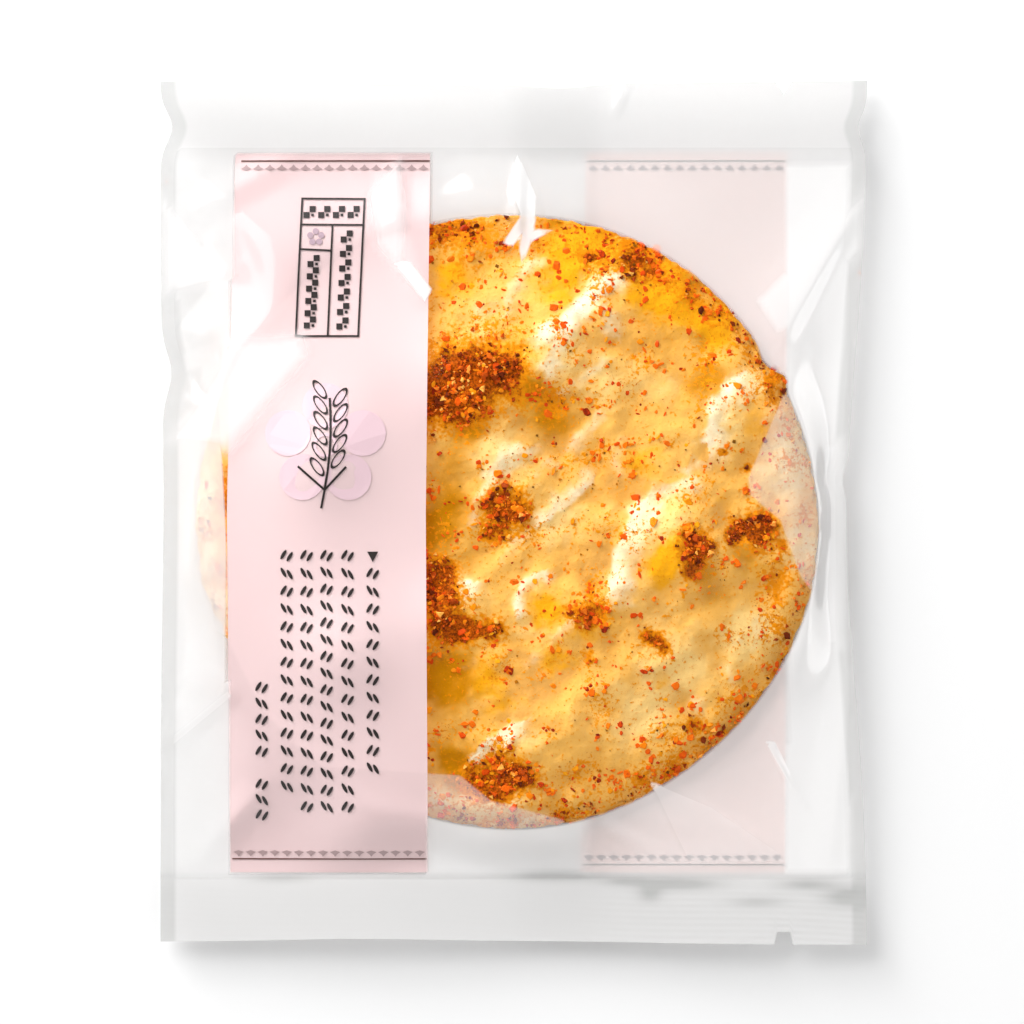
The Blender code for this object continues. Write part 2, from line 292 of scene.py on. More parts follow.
def add_values(obj, name, values):
    """Stores one number for each point of the mesh, for its material to read."""
    layer = obj.data.attributes.new(name, "FLOAT", "POINT")
    layer.data.foreach_set("value", np.asarray(values, np.float32))


def only(obj):
    """Selects this object alone and makes it active."""
    bpy.ops.object.select_all(action="DESELECT")
    obj.select_set(True)
    bpy.context.view_layer.objects.active = obj


def name_piece(name):
    """Names the object that was just added, with its mesh."""
    obj = bpy.context.object
    obj.name = name
    obj.data.name = name
    return obj


def edit_faces(obj, chosen):
    """Opens the object for editing with these of its faces selected and no others."""
    only(obj)
    bpy.ops.object.mode_set(mode="EDIT")
    bpy.ops.mesh.select_mode(type="FACE")
    bpy.ops.mesh.select_all(action="DESELECT")
    bpy.ops.object.mode_set(mode="OBJECT")
    obj.data.polygons.foreach_set("select", chosen)
    bpy.ops.object.mode_set(mode="EDIT")


def thicken(piece):
    """Makes a flat piece into a closed slab, one unit thick."""
    only(piece)
    bpy.ops.object.mode_set(mode="EDIT")
    bpy.ops.mesh.select_all(action="SELECT")
    bpy.ops.mesh.extrude_region_move(TRANSFORM_OT_translate={"value": (0.0, 0.0, 1.0)})
    bpy.ops.mesh.select_all(action="SELECT")
    bpy.ops.mesh.normals_make_consistent(inside=False)
    bpy.ops.object.mode_set(mode="OBJECT")


def subdivide_above(obj, level):
    """Cuts each face in four whose centre is above this level."""
    centres = np.empty(len(obj.data.polygons) * 3, np.float32)
    obj.data.polygons.foreach_get("center", centres)
    edit_faces(obj, centres.reshape(-1, 3)[:, 2] > level)
    bpy.ops.mesh.subdivide(number_cuts=1)
    bpy.ops.object.mode_set(mode="OBJECT")


def crust_from_ball(points):
    """Presses a ball of unit size into the cracker: upper side, rim and underside."""
    points = points / np.linalg.norm(points, axis=1, keepdims=True)
    angle = np.arctan2(points[:, 1], points[:, 0])
    level = points[:, 2]
    flat = RIM_SHARE * np.sqrt(np.clip((1.0 - np.abs(level)) / (1.0 - RIM_BAND), 0.0, 1.0))
    turn = np.clip(level / RIM_BAND, -1.0, 1.0)
    edge = RIM_SHARE + (1.0 - RIM_SHARE) * np.sqrt(1.0 - turn**2)
    share = np.where(np.abs(level) > RIM_BAND, flat, edge)
    across, along = np.cos(angle) * CRACKER_RADIUS, np.sin(angle) * CRACKER_RADIUS
    crumble = CRUMBLE * grain(across, along + turn * 0.002, 0.0028, 21.0)
    crumble += CRUMBLE * grain(across, along + turn * 0.003, 0.0011, 23.0)
    reach = rim_radius(angle) * share * (1.0 + crumble * smooth((share - 0.94) / 0.04))
    x = CRACKER_X + np.cos(angle) * reach
    y = CRACKER_Y + np.sin(angle) * reach
    above = 0.5 + 0.5 * np.sin(turn * math.pi / 2)
    low, high = crust_underside(x, y), crust_top(x, y)
    return np.column_stack([x, y, low + (high - low) * above]), above


def paint(red, green, blue):
    """A colour given as it looks on a screen, 0 to 255, as the shader wants it."""
    parts = [part / 255.0 for part in (red, green, blue)]
    linear = [part / 12.92 if part <= 0.04045 else ((part + 0.055) / 1.055) ** 2.4 for part in parts]
    return (*linear, 1.0)


def new_material(name):
    material = bpy.data.materials.new(name)
    material.use_nodes = True
    material["slot"] = "pack_film"
    return material, material.node_tree


def plain_material(name, colour, roughness, cover=1.0, shine=0.5):
    """One even colour, which hides what lies under it as far as cover says."""
    material, tree = new_material(name)
    looks = {"Base Color": colour, "Roughness": roughness, "Alpha": cover, "Specular IOR Level": shine}
    for socket, value in looks.items():
        tree.nodes["Principled BSDF"].inputs[socket].default_value = value
    return material


def node(tree, kind, **settings):
    made = tree.nodes.new(kind)
    for key, value in settings.items():
        setattr(made, key, value)
    return made


def noise_of(tree, pitch, detail=2.0, roughness=0.5, distortion=0.0):
    """Noise in the object's own space, with lumps about one pitch across."""
    place = node(tree, "ShaderNodeTexCoord")
    made = node(tree, "ShaderNodeTexNoise")
    made.inputs["Scale"].default_value = 1.0 / pitch
    made.inputs["Detail"].default_value = detail
    made.inputs["Roughness"].default_value = roughness
    made.inputs["Distortion"].default_value = distortion
    tree.links.new(place.outputs["Object"], made.inputs["Vector"])
    return made.outputs["Fac"]


def attribute_of(tree, name):
    made = node(tree, "ShaderNodeAttribute", attribute_name=name)
    return made.outputs["Fac"]


def sum_of(tree, first, second, share=1.0):
    """first + second * share, where each may be a socket or a number."""
    made = node(tree, "ShaderNodeMath", operation="MULTIPLY_ADD")
    for socket, value in zip(made.inputs, (second, share, first)):
        if isinstance(value, (int, float)):
            socket.default_value = value
        else:
            tree.links.new(value, socket)
    return made.outputs[0]


def ramp_of(tree, value, low, high):
    """0 below low, 1 above high, with a soft step between."""
    made = node(tree, "ShaderNodeMapRange", interpolation_type="SMOOTHSTEP")
    made.inputs["From Min"].default_value = low
    made.inputs["From Max"].default_value = high
    tree.links.new(value, made.inputs["Value"])
    return made.outputs["Result"]


def blend_of(tree, share, first, second):
    """first where share is 0, second where it is 1; either may be a colour or a socket."""
    made = node(tree, "ShaderNodeMix", data_type="RGBA")
    tree.links.new(share, made.inputs["Factor"])
    for socket, value in ((made.inputs[6], first), (made.inputs[7], second)):
        if isinstance(value, tuple):
            socket.default_value = value
        else:
            tree.links.new(value, socket)
    return made.outputs[2]


HONEY, LIGHT_HONEY = paint(250, 188, 92), paint(255, 212, 132)
DEEP_HONEY, TAN = paint(240, 168, 66), paint(228, 166, 82)
AMBER, OLIVE, CREAM_HIGHLIGHT = paint(253, 174, 24), paint(200, 128, 4), paint(255, 240, 204)
GOLD_DUST, ORANGE_DUST = paint(242, 150, 20), paint(206, 104, 8)
SCORCHED_GOLD, TOASTED_BROWN, BURNT = paint(236, 142, 10), paint(196, 88, 4), paint(126, 54, 0)


def crust_material():
    material, tree = new_material("glazed_crust")
    shader = tree.nodes["Principled BSDF"]
    broad = noise_of(tree, 0.011, 3.0, 0.55, 0.4)
    patch = noise_of(tree, 0.0038, 3.0, 0.6, 0.3)
    crumb = noise_of(tree, 0.0008, 3.0, 0.6)
    dust = noise_of(tree, 0.00045, 2.0, 0.6)
    # Painted shade and light: the crust is deeper honey and tan where its lift is low and lighter where it is
    # high; the olive is painted shade in the hollows and the cream partly painted highlight.
    lift = attribute_of(tree, "lift")
    ragged = sum_of(tree, patch, -0.5)
    fair_and_lit = sum_of(tree, sum_of(tree, attribute_of(tree, "fair_and_lit"), ragged, 1.2), lift, 0.25)
    toast = sum_of(tree, attribute_of(tree, "toast"), sum_of(tree, crumb, -0.5), 1.3)
    dusty = attribute_of(tree, "dusty")
    layers = (  # what a tone follows, where it begins and where it is full, the tone
        (sum_of(tree, broad, lift, -0.25), 0.52, 0.78, TAN),
        (fair_and_lit, 0.05, 0.95, LIGHT_HONEY),
        (sum_of(tree, attribute_of(tree, "amber"), ragged, 1.5), 0.20, 1.0, AMBER),
        (sum_of(tree, attribute_of(tree, "olive_dust_and_shade"), ragged, 0.5), 0.0, 1.05, OLIVE),
        (sum_of(tree, attribute_of(tree, "pale_and_highlight"), ragged, 1.0), 0.12, 1.10, CREAM_HIGHLIGHT),
        (sum_of(tree, crumb, dusty, 0.30), 0.63, 0.76, GOLD_DUST),
        (sum_of(tree, dust, dusty, 0.22), 0.72, 0.82, ORANGE_DUST),
        (toast, 0.05, 0.45, SCORCHED_GOLD),
        (toast, 0.40, 0.85, blend_of(tree, ramp_of(tree, dust, 0.36, 0.62), BURNT, TOASTED_BROWN)),
    )
    colour = blend_of(tree, ramp_of(tree, lift, -0.9, 0.1), DEEP_HONEY, HONEY)
    for follows, begins, full, tone in layers:
        colour = blend_of(tree, ramp_of(tree, follows, begins, full), colour, tone)
    tree.links.new(colour, shader.inputs["Base Color"])
    gloss = sum_of(tree, 0.32, attribute_of(tree, "toast"), 0.35)
    tree.links.new(gloss, shader.inputs["Roughness"])
    bump = node(tree, "ShaderNodeBump")
    bump.inputs["Strength"].default_value = 0.4
    bump.inputs["Distance"].default_value = 0.0004
    tree.links.new(crumb, bump.inputs["Height"])
    tree.links.new(bump.outputs["Normal"], shader.inputs["Normal"])
    shader.inputs["Specular IOR Level"].default_value = 0.05
    return material


def thin_seasoning(x, y):
    """1 at the rim's left and right, half way up, where it caught less of the fine seasoning."""
    off_middle = np.hypot(x - CRACKER_X, y + 0.3 * CRACKER_RADIUS)
    return smooth((off_middle - 0.0500) / 0.006) * bell(y - 0.0020, 0.0180)


def drifts(x, y):
    """How thickly the fine seasoning lies: in drifts, at the rim and round the browned places."""
    near_rim = smooth((rim_distance(x, y) + 0.0095) / 0.0075)
    blown = smooth(1.3 * grain(x, y, 0.0065, 31.0) + 0.25)
    rim_share = near_rim * (1.0 - 0.9 * thin_seasoning(x, y))
    return np.clip(0.08 + 0.45 * blown + 0.34 * rim_share + 0.8 * patches(x, y, TOASTED), 0.0, 1.2)


bpy.ops.object.select_all(action="DESELECT")
bpy.ops.mesh.primitive_ico_sphere_add(subdivisions=7, radius=1.0)
cracker = name_piece("cracker")
subdivide_above(cracker, 0.2)
crust_points, crust_above = crust_from_ball(read_points(cracker))
write_points(cracker, crust_points)
only(cracker)
bpy.ops.object.shade_smooth()
top_x, top_y = crust_points[:, 0], crust_points[:, 1]
facing = np.where(crust_above > 0.5, 1.0, -1.0)
at_rim = smooth((rim_distance(top_x, top_y) + 0.0045) / 0.004)
at_rim *= 1.0 - thin_seasoning(top_x, top_y)
rim_glow = at_rim * (0.10 + 0.5 * grain(top_x, top_y, 0.006, 61.0))
rim_olive = at_rim * 0.6 * smooth(grain(top_x, top_y, 0.005, 65.0) * 1.5 + 0.3)
rim_toast = at_rim * 0.45 * smooth(grain(top_x, top_y, 0.004, 33.0) * 1.6 - 0.1)
face_x = top_x * facing  # the underside is baked with the upper side's pattern, mirrored
add_values(cracker, "lift", swell(face_x, top_y))
add_values(cracker, "toast", patches(face_x, top_y, TOASTED) + rim_toast)
add_values(cracker, "amber", patches(face_x, top_y, AMBER_POOLS) + rim_glow)
add_values(cracker, "olive_dust_and_shade", patches(face_x, top_y, OLIVE_SHADE_HOLLOWS) + rim_olive)
add_values(cracker, "pale_and_highlight", crests(*strayed(face_x, top_y, 0.0010, 0.0007)))
add_values(cracker, "fair_and_lit", patches(face_x, top_y, FAIR_GLAZE_AND_LIGHT))
add_values(cracker, "dusty", drifts(face_x, top_y))
cracker.data.materials.append(crust_material())
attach(cracker, "root")


# ---- The seasoning.
# Crushed dried chili, shrimp crumbs and green specks, shaken on before the glaze dried. They lie
# in the glaze all over, thickest at the rim and heaped where the crust burst and browned.

FLAKE_UNITS = 600  # each unit is one bit of each shape
FLAKE_CLUMPS = 1350
CLUMP_REACH = 0.00055
CRUMB_UNITS = 620
SPECK_UNITS = 300
FLAKE_SIZES = (0.00084, 0.45, 0.0003, 0.0020)  # the middle size, its spread, the least, the most
CRUMB_SIZES = (0.00066, 0.45, 0.0003, 0.0020)
SPECK_SIZES = (0.00034, 0.40, 0.00018, 0.0009)
FLAKE_THICKNESS, CRUMB_THICKNESS, SPECK_THICKNESS = 0.15, 0.45, 0.4  # as shares of a bit's size
SEASONING_SEED = 7
BITS_SUNK = 0.4  # how far a bit sits in the glaze, as a share of its height


def torn_bit(sides, seed, stretch):
    """One torn bit of unit size: a low crooked block with few sides."""
    bpy.ops.object.select_all(action="DESELECT")
    bpy.ops.mesh.primitive_cone_add(vertices=sides, radius1=0.5, radius2=0.36, depth=1.0)
    bit = bpy.context.object
    bpy.ops.object.mode_set(mode="EDIT")
    bpy.ops.mesh.select_all(action="SELECT")
    bpy.ops.transform.vertex_random(offset=0.21, seed=seed)
    bpy.ops.mesh.quads_convert_to_tris()
    bpy.ops.object.mode_set(mode="OBJECT")
    write_points(bit, read_points(bit) * stretch)
    return bit


def joined(name, pieces):
    """Makes several new pieces into one, in the order given."""
    bpy.ops.object.select_all(action="DESELECT")
    for piece in pieces:
        piece.select_set(True)
    bpy.context.view_layer.objects.active = pieces[0]
    if len(pieces) > 1:
        bpy.ops.object.join()
    return name_piece(name)


def copied(piece, times):
    """Copies the whole of a piece inside its own mesh until it is there this many times."""
    faces, made = len(piece.data.polygons), 1
    while made < times:
        extra = min(made, times - made)
        edit_faces(piece, np.arange(faces * made) < faces * extra)
        bpy.ops.mesh.duplicate()
        bpy.ops.object.mode_set(mode="OBJECT")
        made += extra


def strewn(name, bits, x, y, size, generator, bed):
    """Many copies of the bits in one mesh, each turned its own way and lying on bed(x, y)."""
    corners = [len(bit.data.vertices) for bit in bits]
    times = len(x) // len(bits)
    piece = joined(name, bits)
    copied(piece, times)
    owner = np.concatenate([np.full(count, kind) for kind, count in enumerate(corners)])
    owner = (np.arange(times)[:, None] * len(corners) + owner).ravel()
    points = read_points(piece)
    turn = generator.uniform(0.0, 2 * math.pi, len(x))[owner]
    tilt_along, tilt_across = generator.normal(0.0, 0.12, (2, len(x)))[:, owner]
    along = points[:, 0] * np.cos(turn) - points[:, 1] * np.sin(turn)
    across = points[:, 0] * np.sin(turn) + points[:, 1] * np.cos(turn)
    up = points[:, 2] + along * tilt_along + across * tilt_across
    thick = np.ptp(points[:, 2]) * (0.5 - BITS_SUNK)
    scale = size[owner]
    height = bed(x, y)[owner] + (up + thick) * scale
    write_points(piece, np.column_stack([x[owner] + along * scale, y[owner] + across * scale, height]))
    add_values(piece, "tone", generator.uniform(0.0, 1.0, len(x))[owner])
    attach(piece, "root")
    return piece


def chosen_places(generator, count, likely):
    """Random places on the crust, thick where likely(x, y) is near 1 and thin where it is near 0."""
    found_x, found_y = [], []
    while sum(map(len, found_x)) < count:
        angle = generator.uniform(-math.pi, math.pi, count)
        reach = np.sqrt(generator.uniform(0.0, 1.0, count)) * (rim_radius(angle) - 0.0002)
        x, y = CRACKER_X + np.cos(angle) * reach, CRACKER_Y + np.sin(angle) * reach
        kept = generator.uniform(0.0, 1.0, count) < likely(x, y)
        found_x.append(x[kept])
        found_y.append(y[kept])
    return np.concatenate(found_x)[:count], np.concatenate(found_y)[:count]


def bits_of(shapes, height):
    """One torn bit for each shape: how many sides, the seed, the width."""
    return [torn_bit(sides, seed, (1.0, width, height)) for sides, seed, width in shapes]


def sizes(generator, count, middle, spread, least, most):
    """Random sizes round the middle one: many small and a few large."""
    return np.clip(generator.lognormal(math.log(middle), spread, count), least, most)


def tone_material(name, tones, roughness):
    """A bit's colour runs along these tones by the number it was given."""
    material, tree = new_material(name)
    shader = tree.nodes["Principled BSDF"]
    ramp = node(tree, "ShaderNodeValToRGB")
    while len(ramp.color_ramp.elements) < len(tones):
        ramp.color_ramp.elements.new(0.5)
    for element, (place, *colour) in zip(ramp.color_ramp.elements, tones):
        element.position = place
        element.color = paint(*colour)
    mottle = sum_of(tree, noise_of(tree, 0.0005), -0.5)
    tree.links.new(sum_of(tree, attribute_of(tree, "tone"), mottle, 0.3), ramp.inputs["Fac"])
    tree.links.new(ramp.outputs["Color"], shader.inputs["Base Color"])
    shader.inputs["Roughness"].default_value = roughness
    shader.inputs["Specular IOR Level"].default_value = 0.1
    return material


def clumped(generator, x, y, count, reach):
    """Gathers this many places round the given ones, a few at each."""
    centre = generator.integers(0, len(x), count)
    off_x = generator.normal(0.0, reach, count)
    off_y = generator.normal(0.0, reach, count)
    return x[centre] + off_x, y[centre] + off_y


def flake_likely(x, y):
    return 0.12 + 0.70 * drifts(x, y) ** 1.5


def crumb_likely(x, y):
    rim = smooth((rim_distance(x, y) + 0.0035) / 0.003)
    broken = smooth(1.2 * grain(x, y, 0.0030, 35.0) + 0.5)
    burst = np.clip(patches(x, y, TOASTED), 0.0, 1.0) ** 2 * broken
    edge = 0.5 * rim * smooth(1.4 * grain(x, y, 0.004, 33.0) + 0.4)
    return burst + edge * (1.0 - thin_seasoning(x, y))


def speck_likely(x, y):
    drifted = drifts(x, y) * smooth(grain(x, y, 0.0035, 41.0) + 0.3)
    return (0.03 + 0.8 * drifted) * (1.0 - thin_seasoning(x, y))


seasoning = np.random.default_rng(SEASONING_SEED)
flake_shapes = ((9, 1, 0.75), (7, 2, 0.45), (8, 3, 0.85), (8, 4, 0.3), (9, 5, 0.6))
flake_bits = bits_of(flake_shapes, FLAKE_THICKNESS)
clump_x, clump_y = chosen_places(seasoning, FLAKE_CLUMPS, flake_likely)
flake_x, flake_y = clumped(seasoning, clump_x, clump_y, FLAKE_UNITS * len(flake_bits), CLUMP_REACH)
flake_size = sizes(seasoning, len(flake_x), *FLAKE_SIZES)
chili = strewn("chili_flakes", flake_bits, flake_x, flake_y, flake_size, seasoning, crust_top)
chili.data.materials.append(tone_material("dried_chili", (
    (0.0, 250, 166, 16), (0.25, 246, 128, 12), (0.65, 238, 92, 8), (0.90, 214, 66, 4), (1.0, 136, 34, 8),
), 0.45))

crumb_bits = bits_of(((5, 6, 0.7), (4, 7, 0.5), (3, 8, 0.85)), CRUMB_THICKNESS)
crumb_x, crumb_y = chosen_places(seasoning, CRUMB_UNITS * len(crumb_bits), crumb_likely)
crumb_size = sizes(seasoning, len(crumb_x), *CRUMB_SIZES)
crumbs = strewn("toasted_crumbs", crumb_bits, crumb_x, crumb_y, crumb_size, seasoning, crust_top)
crumbs.data.materials.append(tone_material("toasted_shrimp", (
    (0.0, 84, 26, 2), (0.30, 146, 54, 2), (0.60, 212, 84, 8), (0.86, 244, 122, 22), (1.0, 253, 196, 90),
), 0.55))

speck_bits = bits_of(((4, 9, 0.7), (3, 10, 0.5), (4, 11, 0.85)), SPECK_THICKNESS)
speck_x, speck_y = chosen_places(seasoning, SPECK_UNITS * len(speck_bits), speck_likely)
speck_size = sizes(seasoning, len(speck_x), *SPECK_SIZES)
specks = strewn("green_specks", speck_bits, speck_x, speck_y, speck_size, seasoning, crust_top)
specks.data.materials.append(tone_material("dried_green", (
    (0.0, 104, 66, 6), (0.4, 168, 104, 10), (1.0, 214, 128, 16),
), 0.6))


# ---- The clear film.
# One web of thin clear film, wrapped round the cracker and welded across both ends. It is clear
# where the glaze wets it and milky where it hangs loose, and folds run from the rim to the welds.
# Its white and grey also hold painted highlights, painted reflections and painted shade.

PACK_WIDTH, PACK_LENGTH = 0.135, 0.165
TOP_SEAL, BOTTOM_SEAL = 0.0138, 0.0132
SIDE_MARGIN = 0.003
FILM_PAIR = 0.0006
SEAL_LIFT = 0.0034
BASE_INSET = 0.006
CREASE = 0.0004
WAVE = 0.0005
FIN_WIDTH = 0.016
FIN_STEP = 0.0003
FIN_BED = 0.00015  # the back film over the folded seam, where both rest
FILM_PITCH = 0.0008
CRIMP_PITCH = 0.0012
CRIMP_DEPTH = 0.00005
NOTCH_X, NOTCH_HALF, NOTCH_DEPTH = 0.0515, 0.0016, 0.0024
BAND_TOP, BAND_BOTTOM = 0.0687, -0.0687  # the printed bands, each edge at its top, middle and bottom
FRONT_BAND_LEFT, FRONT_BAND_RIGHT = (-0.0532, -0.0547, -0.0542), (-0.0160, -0.0168, -0.0164)
BACK_BAND_LEFT, BACK_BAND_RIGHT = (0.0137, 0.0128, 0.0126), (0.0521, 0.0520, 0.0517)

# Where the folded sides are drawn in: side, y, depth, half height.
PINCHES = (
    (1, 0.0735, 0.0016, 0.0034),
    (1, -0.0020, 0.0040, 0.0430),
    (1, 0.0064, 0.0010, 0.0030),
    (-1, 0.0735, 0.0022, 0.0040),
    (-1, 0.0266, 0.0018, 0.0052),
    (-1, 0.0020, 0.0006, 0.0300),
)

# How far the cut ends fall short of the full length: end, x, depth, half width.
SHORT_CUTS = (
    (1, -0.0150, 0.0009, 0.0450), (1, 0.0090, 0.0008, 0.0075), (1, 0.0420, 0.0003, 0.0200),
    (-1, -0.0680, 0.0005, 0.0200), (-1, -0.0320, 0.0010, 0.0230), (-1, 0.0060, 0.0006, 0.0300),
)

# Folds in the front film: from x, y, to x, y, rise, reach on the left, reach on the right.
FOLDS = (
    (-0.0672, 0.0415, -0.0500, 0.0480, 0.0003, 0.0150, 0.0060),
    (-0.0640, 0.0060, -0.0370, 0.0340, 0.0003, 0.0120, 0.0060),
    (-0.0670, 0.0270, -0.0590, 0.0180, 0.0008, 0.0030, 0.0040),
    (-0.0150, 0.0400, -0.0215, 0.0530, 0.0007, 0.0050, 0.0022),
    (-0.0215, 0.0530, -0.0225, 0.0680, 0.0008, 0.0048, 0.0020),
    (0.0008, 0.0470, 0.0012, 0.0690, 0.0011, 0.0026, 0.0014),
    (0.0065, 0.0520, 0.0028, 0.0620, 0.0006, 0.0022, 0.0012),
    (-0.0035, 0.0500, 0.0010, 0.0560, 0.0006, 0.0018, 0.0010),
    (0.0500, 0.0310, 0.0672, 0.0620, 0.0010, 0.0085, 0.0025),
    (0.0575, -0.0600, 0.0475, -0.0420, 0.0005, 0.0009, 0.0009),
    (0.0505, -0.0655, 0.0250, -0.0510, 0.0006, 0.0080, 0.0030),
    (0.0300, -0.0665, 0.0130, -0.0570, 0.0006, 0.0045, 0.0020),
    (-0.0665, -0.0450, -0.0530, -0.0330, 0.0008, 0.0060, 0.0030),
    (0.0640, -0.0300, 0.0600, -0.0700, 0.0006, 0.0030, 0.0050),
    (-0.0640, 0.0560, -0.0400, 0.0690, 0.0005, 0.0040, 0.0040),
    (0.0190, 0.0750, 0.0225, 0.0830, 0.0005, 0.0022, 0.0008),
    (-0.0620, -0.0690, -0.0480, -0.0520, 0.0006, 0.0040, 0.0040),
)

# Loose film hangs clear of the cracker inside these outlines, milky, and its white also stands in for the
# room's light reflected on its slope, a painted reflection: how milky it is, then the corners.
VEILS = (
    (0.24, ((0.0513, 0.0224), (0.0446, 0.0066), (0.0450, 0.0033), (0.0507, -0.0014), (0.0640, -0.0014),
            (0.0640, 0.0224))),
    (0.24, ((0.0500, 0.0006), (0.0545, -0.0119), (0.0573, -0.0160), (0.0640, -0.0160), (0.0640, 0.0006))),
    (0.24, ((-0.0046, -0.0548), (-0.0103, -0.0501), (-0.0640, -0.0465), (-0.0640, -0.0640),
            (-0.0046, -0.0640))),
    (0.24, ((0.0095, -0.0586), (-0.0060, -0.0545), (-0.0060, -0.0640), (0.0095, -0.0640))),
    (0.62, ((-0.0545, -0.0240), (-0.0545, -0.0110), (-0.0557, 0.0110), (-0.0568, 0.0290), (-0.0590, 0.0200),
            (-0.0612, 0.0080), (-0.0618, -0.0030), (-0.0606, -0.0140), (-0.0580, -0.0220))),
)

# Flat facets of the loose film, whose milkiness is also painted light: it sets how much light each seems to
# reflect and whitens over the shade under it: how milky each is, how soft its edge is, then the corners.
FACETS = (
    (0.84, 0.0015, ((0.0519, -0.0686), (0.0637, -0.0686), (0.0637, 0.0663), (0.0519, 0.0663))),
    (0.46, 0.0025, ((0.0088, -0.0472), (0.0164, -0.0590), (0.0521, -0.0438), (0.0521, -0.0205),
                    (0.0355, -0.0167))),
    (0.54, 0.0015, ((0.0164, -0.0586), (0.0259, -0.0674), (0.0336, -0.0674), (0.0257, -0.0510))),
    (0.62, 0.0060, ((-0.0545, -0.0320), (-0.0545, 0.0290), (-0.0640, 0.0290), (-0.0640, -0.0320))),
    (0.66, 0.0030, ((-0.0162, -0.0690), (0.0140, -0.0690), (0.0140, -0.0580), (-0.0162, -0.0580))),
)

# Painted highlights along sharp creases and pleats, painted white: how white, then the corners.
CREASE_HIGHLIGHTS = (
    (0.85, ((0.0006, 0.0691), (-0.0011, 0.0625), (0.0015, 0.0560), (0.0040, 0.0560), (0.0044, 0.0615),
            (0.0017, 0.0665))),
    (0.85, ((0.0015, 0.0567), (-0.0021, 0.0514), (-0.0004, 0.0506), (0.0034, 0.0555))),
    (0.85, ((0.0021, 0.0567), (0.0010, 0.0501), (0.0016, 0.0472), (0.0030, 0.0510), (0.0042, 0.0562))),
    (0.85, ((0.0030, 0.0530), (0.0036, 0.0518), (0.0072, 0.0537), (0.0040, 0.0540))),
    (0.80, ((-0.0233, 0.0478), (-0.0170, 0.0401), (-0.0156, 0.0424), (-0.0198, 0.0478))),
    (0.55, ((0.0257, -0.0510), (0.0336, -0.0674), (0.0513, -0.0666), (0.0513, -0.0653), (0.0376, -0.0560))),
    (0.85, ((0.0475, -0.0432), (0.0564, -0.0590), (0.0574, -0.0586), (0.0498, -0.0436))),
    (0.55, ((-0.0666, -0.0436), (-0.0660, -0.0453), (-0.0538, -0.0352), (-0.0545, -0.0337))),
)
CREASE_HIGHLIGHT_EDGE = 0.0003
FILM_WHITE, FILM_SHADED = (0.94, 0.93, 0.925, 1.0), (0.60, 0.60, 0.59, 1.0)

# How milky the film is where it hangs loose, at the welds and along the sides, and behind.
LOOSE_MILKINESS, TOP_MILKINESS, BOTTOM_MILKINESS, SIDE_MILKINESS = 0.48, 0.55, 0.72, 0.55
BACK_MILKINESS, BACK_FOLLOWS_FRONT = 0.12, 0.55
SHADE_ALL_OVER, SHADE_AT_FOOT, SHADE_AT_SIDE, SHADE_DENT = 0.03, 0.22, 0.50, 0.0004
PRESSED_PASSES, LOOSE_PASSES = 0.05, 0.8  # how much of its shadow the film loses
SLOPE_SHOWN = 0.24  # how much of its slope the milky film shows, as light scatters inside it
GLOSS_ALL_OVER, GLOSS_LOOSE, GLOSS_EDGE, EDGE_POWER, GLOSS_ROUGHNESS = 0.004, 0.06, 0.45, 4.0, 0.09
RIM_REACH = 0.004  # the distances to the rim that the film's material tells apart
NOT_INSIDE = -0.01
CUT_FROM = 0.0745  # from here out the film follows the cut ends

# Painted highlights: softer sheens on the loose film, painted white: how white, how soft at the edge, then
# the corners.
SHEENS = (
    (0.80, 0.0030, ((-0.0675, 0.0611), (-0.0669, 0.0417), (-0.0540, 0.0450))),
    (0.85, 0.0050, ((-0.0656, 0.0138), (-0.0545, 0.0119), (-0.0399, 0.0300), (-0.0408, 0.0333),
                    (-0.0532, 0.0329))),
    (0.62, 0.0030, ((-0.0275, 0.0605), (-0.0260, 0.0510), (-0.0217, 0.0462), (-0.0206, 0.0586),
                    (-0.0221, 0.0668))),
    (0.80, 0.0034, ((0.0454, 0.0405), (0.0498, 0.0338), (0.0545, 0.0348), (0.0664, 0.0501),
                    (0.0671, 0.0615))),
    (0.80, 0.0025, ((0.0574, -0.0590), (0.0641, -0.0686), (0.0643, -0.0548))),
    (0.80, 0.0035, ((0.0526, -0.0338), (0.0545, -0.0682), (0.0603, -0.0682), (0.0584, -0.0338))),
    (0.92, 0.0030, ((0.0583, 0.0140), (0.0590, -0.0260), (0.0625, -0.0260), (0.0625, 0.0140))),
)

# Facets turned away from the light, greyed with painted shade: how dull, how soft at the edge, the corners.
SHADED_FACETS = (
    (0.50, 0.0010, ((-0.0669, 0.0413), (-0.0652, 0.0268), (-0.0629, 0.0306), (-0.0637, 0.0405))),
    (0.35, 0.0010, ((-0.0652, 0.0268), (-0.0662, 0.0154), (-0.0589, 0.0220), (-0.0599, 0.0276))),
    (0.20, 0.0015, ((-0.0637, 0.0420), (-0.0625, 0.0306), (-0.0532, 0.0338), (-0.0532, 0.0432))),
    (0.60, 0.0008, ((0.0627, 0.0243), (0.0624, 0.0148), (0.0641, 0.0100), (0.0650, 0.0243))),
)

# Small dents beside the lower weld, each also greyed with painted shade: x, y, half width, half height,
# depth.
DENTS = (
    (0.0080, -0.0695, 0.0085, 0.0010, 0.0004), (0.0215, -0.0705, 0.0045, 0.0008, 0.0003),
    (0.0315, -0.0710, 0.0075, 0.0012, 0.0004), (0.0260, -0.0728, 0.0022, 0.0016, 0.0003),
    (0.0560, -0.0712, 0.0055, 0.0011, 0.0003), (0.0640, -0.0735, 0.0045, 0.0018, 0.0004),
    (0.0465, -0.0745, 0.0050, 0.0010, 0.0002), (-0.0450, -0.0700, 0.0060, 0.0008, 0.0002),
)


